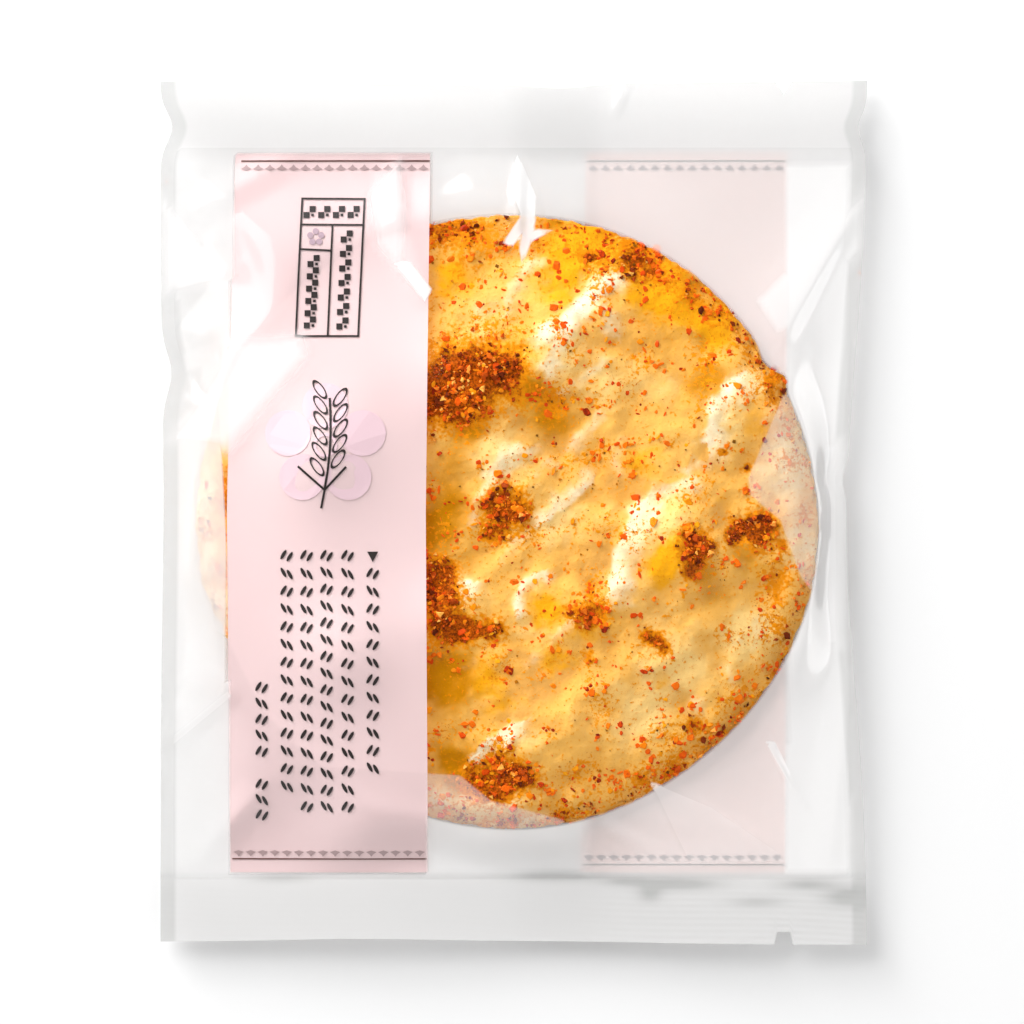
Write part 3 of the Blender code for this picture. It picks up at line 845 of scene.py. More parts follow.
def side_inset(side, y):
    """How far the folded side is drawn in from the pack's full half width."""
    return sum(depth * bell(y - at, half) for which, at, depth, half in PINCHES if which == side)


def off_cracker(x, y):
    """Distance outside the cracker's body, without its torn lip and its flat."""
    across, along = x - CRACKER_X, y - CRACKER_Y
    return np.hypot(across, along) - CRACKER_RADIUS * (1.0 + wander(np.arctan2(along, across)))


def border_distance(x, y):
    """Distance inside the nearest line where front and back film meet, 0 outside it."""
    half = PACK_WIDTH / 2 - SIDE_MARGIN
    right, left = half - side_inset(1, y) - x, half - side_inset(-1, y) + x
    top, bottom = PACK_LENGTH / 2 - TOP_SEAL - y, PACK_LENGTH / 2 - BOTTOM_SEAL + y
    return np.maximum(np.minimum.reduce([right, left, top, bottom]), 0.0)


def tautness(x, y, start=0.0):
    """1 where the film lies on the cracker, falling to 0 at the pack's border."""
    inside = border_distance(x, y)
    outside = np.maximum(off_cracker(x, y) + start, 0.0)
    return inside / np.maximum(inside + outside, 1e-9)


def fan_creases(x, y, pull):
    """Soft folds of loose film that fan out from the cracker towards the corners."""
    angle = np.arctan2(y - CRACKER_Y, x - CRACKER_X)
    fan = np.sin(12 * angle + 0.6) + 0.6 * np.sin(19 * angle + 2.1)
    return CREASE * fan * 4.0 * pull * (1.0 - pull)


def fold_rise(x, y):
    """Straight folds with a flat facet on each side."""
    total = np.zeros_like(x)
    for from_x, from_y, to_x, to_y, rise, left, right in FOLDS:
        length = math.hypot(to_x - from_x, to_y - from_y)
        ahead_x, ahead_y = (to_x - from_x) / length, (to_y - from_y) / length
        along = ((x - from_x) * ahead_x + (y - from_y) * ahead_y) / length
        aside = (y - from_y) * ahead_x - (x - from_x) * ahead_y
        reach = np.where(aside > 0.0, left, right)
        swell_in = np.sin(math.pi * np.clip(along, 0.0, 1.0)) ** 0.7
        total += rise * swell_in * np.clip(1.0 - np.abs(aside) / reach, 0.0, 1.0)
    return total


def dent_depth(x, y):
    return sum(
        depth * bell(x - at_x, half_x) * bell(y - at_y, half_y) for at_x, at_y, half_x, half_y, depth in DENTS
    )


def both_films(x, y, pull):
    """The border isn't quite flat: both films rise and dip together, and the lower weld is crimped."""
    wave = WAVE * np.sin(x / 0.011 + 0.8) * np.cos(y / 0.024) * (1.0 - smooth(pull))
    in_weld = smooth((BOTTOM_SEAL - 0.0020 - PACK_LENGTH / 2 - y) / 0.0010)
    slant = y + 0.05 * x + 0.0006 * np.sin(x / 0.012)
    faint_at_left = 0.15 + 0.85 * smooth((x - 0.012) / 0.016)
    uneven = 0.75 + 0.25 * np.sin(x / 0.0011) * np.sin(y / 0.0009)
    ridge = np.sin(2 * math.pi * slant / CRIMP_PITCH)
    return wave + in_weld * (faint_at_left * uneven) * CRIMP_DEPTH * ridge - dent_depth(x, y)


def film_back(x, y):
    """Height of the back film: flat under the cracker, lifting to the border."""
    pull = tautness(x, y, BASE_INSET)
    border = SEAL_LIFT - FILM_PAIR / 2 + both_films(x, y, tautness(x, y))
    bed = FIN_BED * smooth((x + 0.0006) / 0.0006) * smooth((FIN_WIDTH + 0.0006 - x) / 0.0006)
    return np.maximum(border * (1.0 - smooth(pull)), bed)


def film_front(x, y):
    """Height of the front film: border, slope up to the rim, then crown, blisters and folds."""
    pull = tautness(x, y)
    border = SEAL_LIFT + FILM_PAIR / 2 + both_films(x, y, pull)
    crown = (CROWN_HEIGHT - RIM_HEIGHT) * smooth(-off_cracker(x, y) / CROWN_BLEND)
    loose = border + (RIM_HEIGHT - border) * smooth(pull) + crown + spots(x, y, BLISTERS) * pull**4
    height = loose + fan_creases(x, y, pull) + fold_rise(x, y)
    return np.maximum(height, film_back(x, y) + FILM_PAIR)


def depth_inside(x, y, corners):
    """How far inside a convex outline each point lies, negative outside it."""
    depth = np.full_like(x, 1.0)
    for (from_x, from_y), (to_x, to_y) in zip(corners, corners[1:] + corners[:1]):
        length = math.hypot(to_x - from_x, to_y - from_y)
        depth = np.minimum(depth, ((to_x - from_x) * (y - from_y) - (to_y - from_y) * (x - from_x)) / length)
    return depth


def inside_outline(x, y, corners, blur):
    """1 inside a convex outline and 0 outside it, with a soft edge."""
    return smooth(0.5 + depth_inside(x, y, corners) / blur)


def nearest_outline(x, y, outlines):
    """How far inside the nearest outline each point lies, and how white that one is."""
    depths = np.array([depth_inside(x, y, corners) for _, corners in outlines])
    whites = np.array([white for white, _ in outlines])
    return depths.max(axis=0), whites[depths.argmax(axis=0)]


def band_sides(y, at_top, in_middle, at_bottom):
    """A printed band's long edge wanders a little down the pack."""
    return np.interp(y, (BAND_BOTTOM, 0.0, BAND_TOP), (at_bottom, in_middle, at_top))


def strongest(x, y, outlines):
    """The greatest strength of the outlines that hold each point, with their soft edges."""
    return np.maximum.reduce([much * inside_outline(x, y, corners, blur) for much, blur, corners in outlines])


def over_front_band(x, y):
    left, right = band_sides(y, *FRONT_BAND_LEFT), band_sides(y, *FRONT_BAND_RIGHT)
    return (np.abs(y) < BAND_TOP) & (x > left - 0.0001) & (x < right + 0.0001)


def loose_milkiness(x, y):
    """How milky the front film looks where it hangs loose, with the facets' painted light."""
    body = np.full_like(x, LOOSE_MILKINESS)
    for much, blur, corners in FACETS:
        body += (much - body) * inside_outline(x, y, corners, blur)
    return np.where(over_front_band(x, y), 0.0, body)


def weld_and_sheen_milkiness(x, y):
    """How milky it looks at the welds and along the folded sides, and how white the soft sheens are painted
    as highlights.
    """
    top = smooth((y - (PACK_LENGTH / 2 - TOP_SEAL)) / 0.0008)
    bottom = smooth((BOTTOM_SEAL - PACK_LENGTH / 2 - y) / 0.0008)
    inset = side_inset(1, y) * (x > 0) + side_inset(-1, y) * (x < 0)
    side = smooth((np.abs(x) + inset - (PACK_WIDTH / 2 - SIDE_MARGIN)) / 0.0006)
    seals = [TOP_MILKINESS * top, BOTTOM_MILKINESS * bottom, SIDE_MILKINESS * side]
    return np.maximum.reduce([*seals, strongest(x, y, SHEENS)]), side


def drawn_in(x, y):
    """Moves points near the folded sides in, and points near the cut ends to the cut."""
    side = np.where(x > 0, 1.0, -1.0)
    inset = np.where(x > 0, side_inset(1, y), side_inset(-1, y))
    moved_x = x - side * inset * smooth((np.abs(x) - PACK_WIDTH / 4) / (PACK_WIDTH / 4))
    beside = np.abs(x - NOTCH_X)
    top = NOTCH_DEPTH * np.clip(1.0 - beside / NOTCH_HALF, 0.0, 1.0)
    bottom = NOTCH_DEPTH * np.clip((NOTCH_HALF + 0.0002 - beside) / 0.0005, 0.0, 1.0)
    top += sum(depth * bell(x - at, half) for end, at, depth, half in SHORT_CUTS if end == 1)
    bottom += sum(depth * bell(x - at, half) for end, at, depth, half in SHORT_CUTS if end == -1)
    up = np.clip((y - CUT_FROM) / (PACK_LENGTH / 2 - CUT_FROM), 0.0, 1.0)
    down = np.clip((-y - CUT_FROM) / (PACK_LENGTH / 2 - CUT_FROM), 0.0, 1.0)
    return moved_x, y - top * up + bottom * down


def even_lines(low, high, pitch):
    return np.linspace(low, high, max(round((high - low) / pitch), 1) + 1)


def sheet(name, columns, rows):
    """A closed flat slab of squares on these lines; also says which of its points are on top."""
    bpy.ops.object.select_all(action="DESELECT")
    across, along = len(columns) - 1, len(rows) - 1
    bpy.ops.mesh.primitive_grid_add(x_subdivisions=across, y_subdivisions=along, size=2.0)
    piece = name_piece(name)
    thicken(piece)
    points = read_points(piece)
    x = np.interp((points[:, 0] + 1.0) / 2.0 * across, np.arange(across + 1), columns)
    y = np.interp((points[:, 1] + 1.0) / 2.0 * along, np.arange(along + 1), rows)
    return piece, x, y, points[:, 2] > 0.5


def mixed(tree, share, first, second):
    """A shader that is first where share is 0 and second where it is 1."""
    made = node(tree, "ShaderNodeMixShader")
    for socket, source in zip(made.inputs, (share, first.outputs[0], second.outputs[0])):
        tree.links.new(source, socket)
    return made


def pass_shadows(tree, shader, share):
    """Film and ink scatter light on to what lies under them, so their shadows lose this share."""
    path = node(tree, "ShaderNodeLightPath")
    lost = sum_of(tree, 0.0, path.outputs["Is Shadow Ray"], share)
    lit = mixed(tree, lost, shader, node(tree, "ShaderNodeBsdfTransparent"))
    tree.links.new(lit.outputs[0], tree.nodes["Material Output"].inputs["Surface"])


def greater_of(tree, first, second):
    made = node(tree, "ShaderNodeMath", operation="MAXIMUM")
    tree.links.new(first, made.inputs[0])
    tree.links.new(second, made.inputs[1])
    return made.outputs[0]


def film_material():
    """Clear film: it lets light through, mirrors a little, and is white where it is milky; that white also
    holds painted highlights and painted reflections, and its grey painted shade.
    """
    material, tree = new_material("clear_film")
    milky = tree.nodes["Principled BSDF"]
    milky.inputs["Roughness"].default_value = 0.4
    milky.inputs["Specular IOR Level"].default_value = 0.3
    place = node(tree, "ShaderNodeNewGeometry")
    eased = node(tree, "ShaderNodeVectorMath", operation="MULTIPLY")
    eased.inputs[1].default_value = (SLOPE_SHOWN, SLOPE_SHOWN, 1.0)
    tree.links.new(place.outputs["Normal"], eased.inputs[0])
    even = node(tree, "ShaderNodeVectorMath", operation="NORMALIZE")
    tree.links.new(eased.outputs[0], even.inputs[0])
    tree.links.new(even.outputs[0], milky.inputs["Normal"])
    white_or_shaded = blend_of(tree, attribute_of(tree, "shade"), FILM_WHITE, FILM_SHADED)
    tree.links.new(white_or_shaded, milky.inputs["Base Color"])
    off_rim = ramp_of(tree, attribute_of(tree, "off_rim"), -0.0003, 0.0006)
    veil = ramp_of(tree, attribute_of(tree, "veil"), -0.0003, 0.0003)
    crease_highlight = ramp_of(tree, attribute_of(tree, "crease_highlight"), -CREASE_HIGHLIGHT_EDGE, CREASE_HIGHLIGHT_EDGE)
    loose = greater_of(tree, off_rim, veil)
    hanging = sum_of(tree, 0.0, off_rim, attribute_of(tree, "body"))
    white = greater_of(tree, hanging, attribute_of(tree, "pressed_and_sheen"))
    white = greater_of(tree, white, sum_of(tree, 0.0, veil, attribute_of(tree, "veil_and_reflection_white")))
    white = greater_of(tree, white, sum_of(tree, 0.0, crease_highlight, attribute_of(tree, "crease_highlight_white")))
    clear = node(tree, "ShaderNodeBsdfTransparent")
    gloss = node(tree, "ShaderNodeBsdfGlossy")
    gloss.inputs["Roughness"].default_value = GLOSS_ROUGHNESS
    facing = node(tree, "ShaderNodeLayerWeight")
    facing.inputs["Blend"].default_value = 0.5
    edge = node(tree, "ShaderNodeMath", operation="POWER")
    tree.links.new(facing.outputs["Facing"], edge.inputs[0])
    edge.inputs[1].default_value = EDGE_POWER
    mirror = sum_of(tree, sum_of(tree, GLOSS_ALL_OVER, loose, GLOSS_LOOSE), edge.outputs[0], GLOSS_EDGE)
    glazed = mixed(tree, mirror, mixed(tree, white, clear, milky), gloss)
    pass_shadows(tree, glazed, attribute_of(tree, "passes"))
    return material


half_wide, half_long = PACK_WIDTH / 2, PACK_LENGTH / 2
column_lines = np.concatenate([
    even_lines(-half_wide, NOTCH_X - 0.0020, FILM_PITCH)[:-1],
    even_lines(NOTCH_X - 0.0020, NOTCH_X + 0.0020, 0.0002)[:-1],
    even_lines(NOTCH_X + 0.0020, half_wide, FILM_PITCH),
])
row_lines = np.concatenate([
    even_lines(-half_long, BOTTOM_SEAL - half_long, 0.0003)[:-1],
    even_lines(BOTTOM_SEAL - half_long, half_long, FILM_PITCH),
])
film, film_x, film_y, is_front = sheet("clear_film", column_lines, row_lines)
film_x, film_y = drawn_in(film_x, film_y)
body = loose_milkiness(film_x, film_y)
pressed_and_sheen, at_side = weld_and_sheen_milkiness(film_x, film_y)
off_rim = np.clip(rim_distance(film_x, film_y), -RIM_REACH, RIM_REACH)
veil, veil_and_reflection_white = nearest_outline(film_x, film_y, VEILS)
veil_and_reflection_white = np.where(over_front_band(film_x, film_y), 0.0, veil_and_reflection_white)
crease_highlight, crease_highlight_white = nearest_outline(film_x, film_y, CREASE_HIGHLIGHTS)
whiteness = np.maximum.reduce([body * smooth(off_rim / 0.001), pressed_and_sheen, veil_and_reflection_white * smooth(veil / 0.0006)])
at_end = (film_y > half_long - TOP_SEAL) | (film_y < BOTTOM_SEAL - half_long)
film_z = np.where(is_front, film_front(film_x, film_y), film_back(film_x, film_y))
write_points(film, np.column_stack([film_x, film_y, film_z]))
only(film)
bpy.ops.object.shade_smooth_by_angle(angle=math.radians(50.0))
add_values(film, "body", np.where(is_front, body, BACK_FOLLOWS_FRONT * whiteness + BACK_MILKINESS))
add_values(film, "pressed_and_sheen", np.where(is_front, pressed_and_sheen, 0.0))
add_values(film, "off_rim", np.where(is_front, off_rim, RIM_REACH))
add_values(film, "veil", np.where(is_front, veil, NOT_INSIDE))
add_values(film, "veil_and_reflection_white", veil_and_reflection_white)
add_values(film, "crease_highlight", np.where(is_front, crease_highlight, NOT_INSIDE))
add_values(film, "crease_highlight_white", crease_highlight_white)
is_pressed = np.maximum(at_side, at_end) > 0.5
add_values(film, "passes", np.where(is_pressed, PRESSED_PASSES, LOOSE_PASSES))
# Painted shade: the film is greyed at the lower weld, along the folded sides, in the dents and on the facets
# turned from the light, and not under the painted highlights of the sheens.
at_foot = film_y < BOTTOM_SEAL - half_long
shade = SHADE_ALL_OVER + SHADE_AT_FOOT * at_foot + SHADE_AT_SIDE * at_side
shade += dent_depth(film_x, film_y) / SHADE_DENT
shade = np.maximum(shade, strongest(film_x, film_y, SHADED_FACETS))
shade *= 1.0 - strongest(film_x, film_y, SHEENS)
add_values(film, "shade", np.clip(shade, 0.0, 1.0))
film.data.materials.append(film_material())
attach(film, "root")
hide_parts("sealed_pack")


# ---- The back seam.
# The web's two long edges, welded face to face down the middle of the back and folded over flat.

seam_rows = even_lines(-half_long + 0.0015, half_long - 0.0015, 0.0015)
seam, seam_x, seam_y, seam_top = sheet("back_seam", even_lines(0.0, FIN_WIDTH, 0.002), seam_rows)
seam_low = np.maximum(film_back(seam_x, seam_y) - FIN_STEP, 0.00001)
seam_high = film_back(seam_x, seam_y) - 0.00004
write_points(seam, np.column_stack([seam_x, seam_y, np.where(seam_top, seam_high, seam_low)]))
only(seam)
bpy.ops.object.shade_smooth_by_angle(angle=math.radians(50.0))
seam.data.materials.append(plain_material("seam_film", (0.86, 0.85, 0.845, 1.0), 0.3, cover=0.18))
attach(seam, "root")


# ---- The pink bands.
# Two broad bands of pink ink printed inside the film, one down the front and one down the back,
# which shows through the pack. Both stop short of the welds.

BAND_DEPTH = 0.00020  # under the outside of the film
BAND_SHADOW_LOSS = 0.8
INK_PITCH = 0.0010


def printed_band(name, left, right, height, colour, cover):
    """A thin printed layer between two long edges, each given at its top, middle and bottom."""
    piece, share, y, on_top = sheet(
        name, even_lines(0.0, 1.0, INK_PITCH / 0.038), even_lines(BAND_BOTTOM, BAND_TOP, INK_PITCH)
    )
    low, high = band_sides(y, *left), band_sides(y, *right)
    x = low + (high - low) * share
    write_points(piece, np.column_stack([x, y, height(x, y) + np.where(on_top, 0.0, -0.00003)]))
    only(piece)
    bpy.ops.object.shade_smooth_by_angle(angle=math.radians(50.0))
    material = plain_material(name + "_ink", colour, 0.5, cover, shine=0.2)
    tree = material.node_tree
    pass_shadows(tree, tree.nodes["Principled BSDF"], BAND_SHADOW_LOSS)
    piece.data.materials.append(material)
    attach(piece, "root")
    return piece


def under_front(x, y):
    return film_front(x, y) - BAND_DEPTH


def over_back(x, y):
    return film_back(x, y) + BAND_DEPTH


printed_band("front_band", FRONT_BAND_LEFT, FRONT_BAND_RIGHT, under_front, paint(238, 212, 212), 0.88)
printed_band("back_band", BACK_BAND_LEFT, BACK_BAND_RIGHT, over_back, paint(252, 212, 204), 0.25)


# ---- The borders of the bands.
# A fine line and a row of small fan-shaped marks, printed across each band near both ends.

MARK_WIDTH, MARK_HEIGHT = 0.0020, 0.0013
FAN = ((0.0, 0.5), (-0.18, 0.14), (-0.5, -0.18), (0.0, -0.42), (0.5, -0.18), (0.18, 0.14))
MARKS_EACH = 16
INK_GAP = 0.00006  # between the pink and what is printed beside it
INK_THICKNESS = 0.00004
BAR_PITCH = 0.0008  # a long bar has a joint this often, to follow the film


def flat_bit(shape, x, y, size_x, size_y, turn=0.0):
    """A filled flat shape of this size at its place: a bar, a square, a grain or a round."""
    if shape == "bar":
        steps = max(round(size_x / BAR_PITCH), 1)
        bpy.ops.mesh.primitive_grid_add(x_subdivisions=steps, y_subdivisions=1, size=1.0)
    elif shape == "square":
        bpy.ops.mesh.primitive_plane_add(size=1.0)
    else:
        corners = 10 if shape == "grain" else 20
        bpy.ops.mesh.primitive_circle_add(vertices=corners, radius=0.5, fill_type="NGON")
    bit = bpy.context.object
    bit.scale = (size_x, size_y, 1.0)
    bit.rotation_euler = (0.0, 0.0, turn)
    bit.location = (x, y, 0.0)
    return bit


def printed(name, bits, height, colour, cover=1.0):
    """Joins flat shapes, gives them the thickness of ink and lays them at height(x, y)."""
    piece = joined(name, bits)
    bpy.ops.object.transform_apply(location=True, rotation=True, scale=True)
    thicken(piece)
    x, y, z = read_points(piece).T
    write_points(piece, np.column_stack([x, y, height(x, y) + np.where(z > 0.5, INK_THICKNESS, 0.0)]))
    piece.data.materials.append(plain_material(name + "_ink", colour, 0.5, cover))
    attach(piece, "root")
    return piece


def border_marks(left, right, y, up):
    """A row of low fans that touch, each with its point up or down."""
    marks = []
    for at in np.linspace(left + MARK_WIDTH / 2, right - MARK_WIDTH / 2, MARKS_EACH):
        bpy.ops.mesh.primitive_circle_add(vertices=6, radius=0.5, fill_type="NGON")
        mark = bpy.context.object
        corners = [(across * MARK_WIDTH, along * up * MARK_HEIGHT, 0.0) for across, along in FAN]
        write_points(mark, corners)
        mark.location = (at, y, 0.0)
        marks.append(mark)
    return marks


def border_line(left, right, y, width):
    return flat_bit("bar", (left + right) / 2, y, right - left, width)


def raised(bed, rise):
    """The height of what is printed this far over bed(x, y)."""
    return lambda x, y: bed(x, y) + rise


over_front_ink, over_back_ink = raised(under_front, INK_GAP), raised(over_back, INK_GAP)
printed("front_border_lines", [
    border_line(-0.0521, -0.0161, 0.0671, 0.00028),
    border_line(-0.0538, -0.0167, -0.0661, 0.00024),
], over_front_ink, paint(96, 52, 40))
front_marks = border_marks(-0.0521, -0.0163, 0.0658, 1) + border_marks(-0.0536, -0.0170, -0.0650, -1)
printed("front_border_marks", front_marks, over_front_ink, paint(176, 150, 150))
printed("back_border_lines", [
    border_line(0.0139, 0.0518, 0.0671, 0.00026),
    border_line(0.0130, 0.0515, -0.0672, 0.00022),
], over_back_ink, paint(48, 30, 26))
back_marks = border_marks(0.0141, 0.0516, 0.0658, 1) + border_marks(0.0132, 0.0512, -0.0659, -1)
printed("back_border_marks", back_marks, over_back_ink, paint(116, 92, 96))


# ---- The print on the front band.
# Black line print on the pink: a ruled panel of checks, an ear of rice and columns of rice grains
# lie over one pale lilac blossom.

RULE_WIDTH = 0.00036
LILAC_RISE, BLACK_RISE = 0.00006, 0.00010  # over the pink, in printing order

# The ruled panel's lines: from x, y, to x, y.
RULES = (
    (-0.0406, 0.0599, -0.0283, 0.0598), (-0.0418, 0.0336, -0.0295, 0.0336),
    (-0.0404, 0.0600, -0.0416, 0.0335), (-0.0285, 0.0600, -0.0297, 0.0335),
    (-0.0406, 0.0549, -0.0287, 0.0548), (-0.0346, 0.0549, -0.0355, 0.0336),
    (-0.0408, 0.0502, -0.0348, 0.0499),
)

# Rows of checks inside it: first x, y, last x, y, how many.
CHECKS = (
    (-0.0390, 0.0573, -0.0306, 0.0573, 4),
    (-0.0382, 0.0479, -0.0389, 0.0362, 6),
    (-0.0319, 0.0526, -0.0327, 0.0360, 7),
)
CHECK_SIZE = 0.00115

# Columns of grains: x, first y, last y, how many.
COLUMNS_OF_GRAINS = (
    (-0.0269, -0.0116, -0.0487, 12), (-0.0317, -0.0082, -0.0561, 15), (-0.0357, -0.0082, -0.0561, 16),
    (-0.0395, -0.0082, -0.0561, 15), (-0.0433, -0.0082, -0.0522, 14),
    (-0.0481, -0.0333, -0.0455, 5), (-0.0481, -0.0518, -0.0577, 3),
)
GRAIN_SIZE = (0.0021, 0.00068)
GRAIN_LEANS = (-0.55, 0.5)
GRAIN_APART_X, GRAIN_APART_Y = 0.0006, -0.0002
ARROW_AT, ARROW_SIZE = (-0.0269, -0.0081), (0.0024, 0.0026)

# An ear of rice on a bent stem, with two leaves: lean and length of each.
EAR_LOW, EAR_HIGH = (-0.0367, 0.0008), (-0.0352, 0.0218)
STEM_WIDTH, STEM_BEND = 0.00042, 0.0009
EAR_GRAIN, EAR_GRAIN_LEAN = (0.0044, 0.0017), 0.62
EAR_GRAIN_ASIDE, EAR_GRAIN_UP = 0.0019, 0.0016
LEAVES = ((0.85, 0.0068), (-0.75, 0.0060))

# Two blossoms of five rounds, the larger one with a ring in it.
BLOSSOM_AT, BLOSSOM_REACH, PETAL_SIZE = (-0.0359, 0.0128), 0.0075, 0.0088
SMALL_BLOSSOM_AT, SMALL_REACH, SMALL_PETAL = (-0.0378, 0.0525), 0.0011, 0.0012
RING_SIZE = 0.0046
HOLLOW_LINE = 0.12  # a hollow shape's line, as a share of its size


def ruled_line(from_x, from_y, to_x, to_y, width):
    length = math.hypot(to_x - from_x, to_y - from_y)
    turn = math.atan2(to_y - from_y, to_x - from_x)
    return flat_bit("bar", (from_x + to_x) / 2, (from_y + to_y) / 2, length, width, turn)


def hollowed(bit):
    """Turns a filled flat shape into its outline."""
    only(bit)
    bpy.ops.object.mode_set(mode="EDIT")
    bpy.ops.mesh.select_all(action="SELECT")
    bpy.ops.mesh.inset(thickness=HOLLOW_LINE, depth=0.0)
    bpy.ops.mesh.delete(type="FACE")
    bpy.ops.object.mode_set(mode="OBJECT")
    return bit


def blossom(at_x, at_y, reach, petal):
    """Five rounds in a ring, one of them at the top."""
    turns = math.pi / 2 + np.arange(5) * 2 * math.pi / 5
    return [
        flat_bit("round", at_x + reach * math.cos(turn), at_y + reach * math.sin(turn), petal, petal)
        for turn in turns
    ]


lilac = blossom(*BLOSSOM_AT, BLOSSOM_REACH, PETAL_SIZE)
lilac.append(hollowed(flat_bit("round", *BLOSSOM_AT, RING_SIZE, RING_SIZE)))
printed("lilac_blossom", lilac, raised(under_front, LILAC_RISE), paint(234, 202, 210))
small = blossom(*SMALL_BLOSSOM_AT, SMALL_REACH, SMALL_PETAL)
printed("panel_blossom", small, raised(under_front, BLACK_RISE), paint(186, 160, 172))

black = [ruled_line(*rule, RULE_WIDTH) for rule in RULES]
for first_x, first_y, last_x, last_y, count in CHECKS:
    for at_x, at_y in zip(np.linspace(first_x, last_x, count), np.linspace(first_y, last_y, count)):
        for way_x, way_y, share in ((-1, -1, 1.0), (1, 1, 1.0), (1, -1, 0.45)):
            place = (at_x + way_x * CHECK_SIZE / 2, at_y + way_y * CHECK_SIZE / 2)
            black.append(flat_bit("square", *place, CHECK_SIZE * share, CHECK_SIZE * share))
for at_x, first_y, last_y, count in COLUMNS_OF_GRAINS:
    for index, at_y in enumerate(np.linspace(first_y, last_y, count)):
        lean = math.pi / 2 + GRAIN_LEANS[index % 2]
        for side in (-1, 1):
            place = (at_x + side * GRAIN_APART_X, at_y + side * GRAIN_APART_Y)
            black.append(flat_bit("grain", *place, *GRAIN_SIZE, lean))
bpy.ops.mesh.primitive_circle_add(vertices=3, radius=0.5, fill_type="NGON", rotation=(0.0, 0.0, math.pi))
arrow = bpy.context.object
arrow.scale = (*ARROW_SIZE, 1.0)
arrow.location = (*ARROW_AT, 0.0)
black.append(arrow)

stem_steps = np.linspace(0.0, 1.0, 7)
stem_bend = STEM_BEND * np.sin(3.0 * stem_steps)
stem_x = EAR_LOW[0] + (EAR_HIGH[0] - EAR_LOW[0]) * stem_steps + stem_bend
stem_y = EAR_LOW[1] + (EAR_HIGH[1] - EAR_LOW[1]) * stem_steps
stem = list(zip(stem_x, stem_y))
black += [ruled_line(*low, *high, STEM_WIDTH) for low, high in zip(stem, stem[1:])]
for index, step in enumerate(np.linspace(0.30, 1.0, 11)):
    side = 1 if index % 2 else -1
    grain_x = np.interp(step, stem_steps, stem_x) + side * EAR_GRAIN_ASIDE
    grain_y = np.interp(step, stem_steps, stem_y) + EAR_GRAIN_UP
    lean = math.pi / 2 - side * EAR_GRAIN_LEAN
    black.append(hollowed(flat_bit("round", grain_x, grain_y, *EAR_GRAIN, lean)))
for lean, length in LEAVES:
    base_x, base_y = stem[1]
    tip = (base_x - length * math.sin(lean), base_y + length * math.cos(lean))
    black.append(ruled_line(base_x, base_y, *tip, STEM_WIDTH))
printed("black_print", black, raised(under_front, BLACK_RISE), paint(34, 24, 22))


# ---- Loose crumbs.
# Three toasted crumbs that fell off the cracker and lie in the pack beside it.

LOOSE = ((-0.0664, 0.0632), (0.0660, 0.0458), (0.0199, -0.0663))
loose_x, loose_y = np.array(LOOSE).T
loose_bits = bits_of(((5, 12, 0.7), (4, 13, 0.6), (3, 14, 0.85)), CRUMB_THICKNESS)
loose_size = np.array([0.0006, 0.0008, 0.0006])
loose = strewn("loose_crumbs", loose_bits, loose_x, loose_y, loose_size, seasoning, over_back)
loose.data.materials.append(bpy.data.materials["toasted_shrimp"])


# ---- Floor, light and camera.
# A white floor in a bright room. The lamps stand behind the pack on its left, with a weak fill on
# its right, and two cards show only in the film's gloss. The camera looks straight down.

FLOOR_SIZE = 3.0
FLOOR_DROP = 0.00005
CAMERA_X, CAMERA_Y, CAMERA_HEIGHT = -0.0004, 0.0001, 1.6
SENSOR_WIDTH = 36.0
PACK_LEVEL = 0.005
VIEW_WIDTH = 0.1953  # what the camera takes in at the pack's level
ROOM_STRENGTH = 0.69
OVERHEAD_FROM, OVERHEAD_FULL, OVERHEAD_DIM = 0.84, 0.94, 0.2  # the room is dim straight overhead

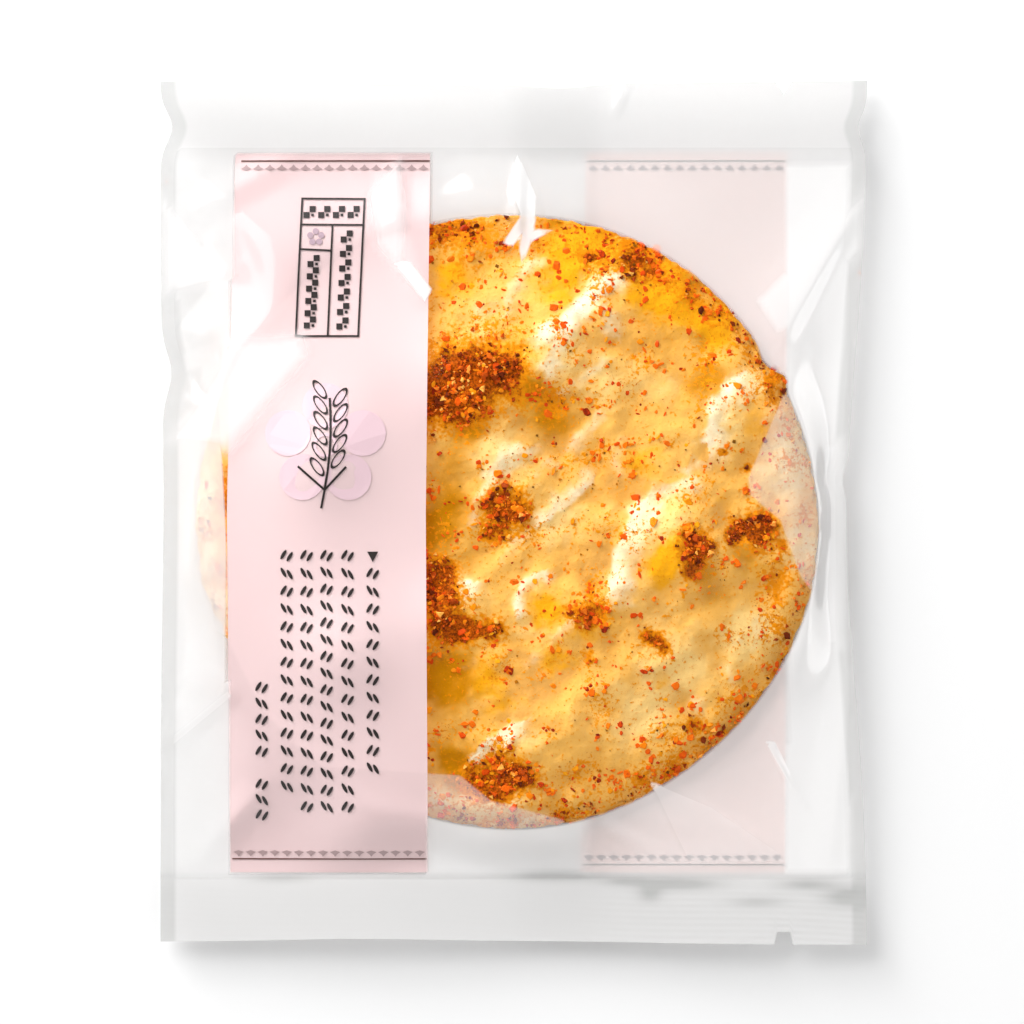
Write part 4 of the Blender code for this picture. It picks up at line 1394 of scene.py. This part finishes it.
# Lamps: name, place, size, power, whether it shows only in gloss. The rake is low, for the long
# soft shadow and the crust's relief.
LAMPS = (
    ("key", (-0.95, 1.08, 0.60), 1.4, 33.0, False),
    ("rake", (-0.85, 1.15, 0.36), 0.4, 12.0, False),
    ("fill", (1.30, -0.55, 0.75), 1.0, 3.0, False),
    ("card", (-0.62, 0.38, 1.20), 0.45, 1.5, True),
    ("side_card", (1.25, -0.05, 0.42), 1.0, 10.0, True),
)

bpy.ops.object.select_all(action="DESELECT")
bpy.ops.mesh.primitive_plane_add(size=FLOOR_SIZE, location=(0, 0, -FLOOR_DROP))
floor = name_piece("floor")
floor.data.materials.append(plain_material("white_sweep", (0.9, 0.9, 0.9, 1.0), 0.9))

for lamp_name, place, size, power, only_in_gloss in LAMPS:
    bpy.ops.object.light_add(type="AREA", location=place)
    lamp = bpy.context.object
    lamp.name = lamp_name
    lamp.data.shape = "SQUARE"
    lamp.data.size = size
    lamp.data.energy = power
    lamp.rotation_euler = Vector(place).to_track_quat("Z", "Y").to_euler()
    lamp.visible_diffuse = not only_in_gloss
    lamp.visible_transmission = not only_in_gloss

world = bpy.data.worlds.new("studio")
bpy.context.scene.world = world
world.use_nodes = True
sky = world.node_tree
around = node(sky, "ShaderNodeTexCoord")
split = node(sky, "ShaderNodeSeparateXYZ")
overhead = node(sky, "ShaderNodeMapRange")
overhead_range = (OVERHEAD_FROM, OVERHEAD_FULL, 1.0, OVERHEAD_DIM)
for socket, value in zip(("From Min", "From Max", "To Min", "To Max"), overhead_range):
    overhead.inputs[socket].default_value = value
sky.links.new(around.outputs["Generated"], split.inputs[0])
sky.links.new(split.outputs["Z"], overhead.inputs["Value"])
sky.links.new(overhead.outputs["Result"], sky.nodes["Background"].inputs["Color"])
sky.nodes["Background"].inputs["Strength"].default_value = ROOM_STRENGTH
bpy.context.scene.view_settings.view_transform = "Standard"

camera_data = bpy.data.cameras.new("camera")
camera = bpy.data.objects.new("camera", camera_data)
bpy.context.scene.collection.objects.link(camera)
camera.location = (CAMERA_X, CAMERA_Y, CAMERA_HEIGHT)
camera_data.sensor_width = SENSOR_WIDTH
camera_data.lens = SENSOR_WIDTH * (CAMERA_HEIGHT - PACK_LEVEL) / VIEW_WIDTH
camera_data.clip_start = 0.05
bpy.context.scene.camera = camera
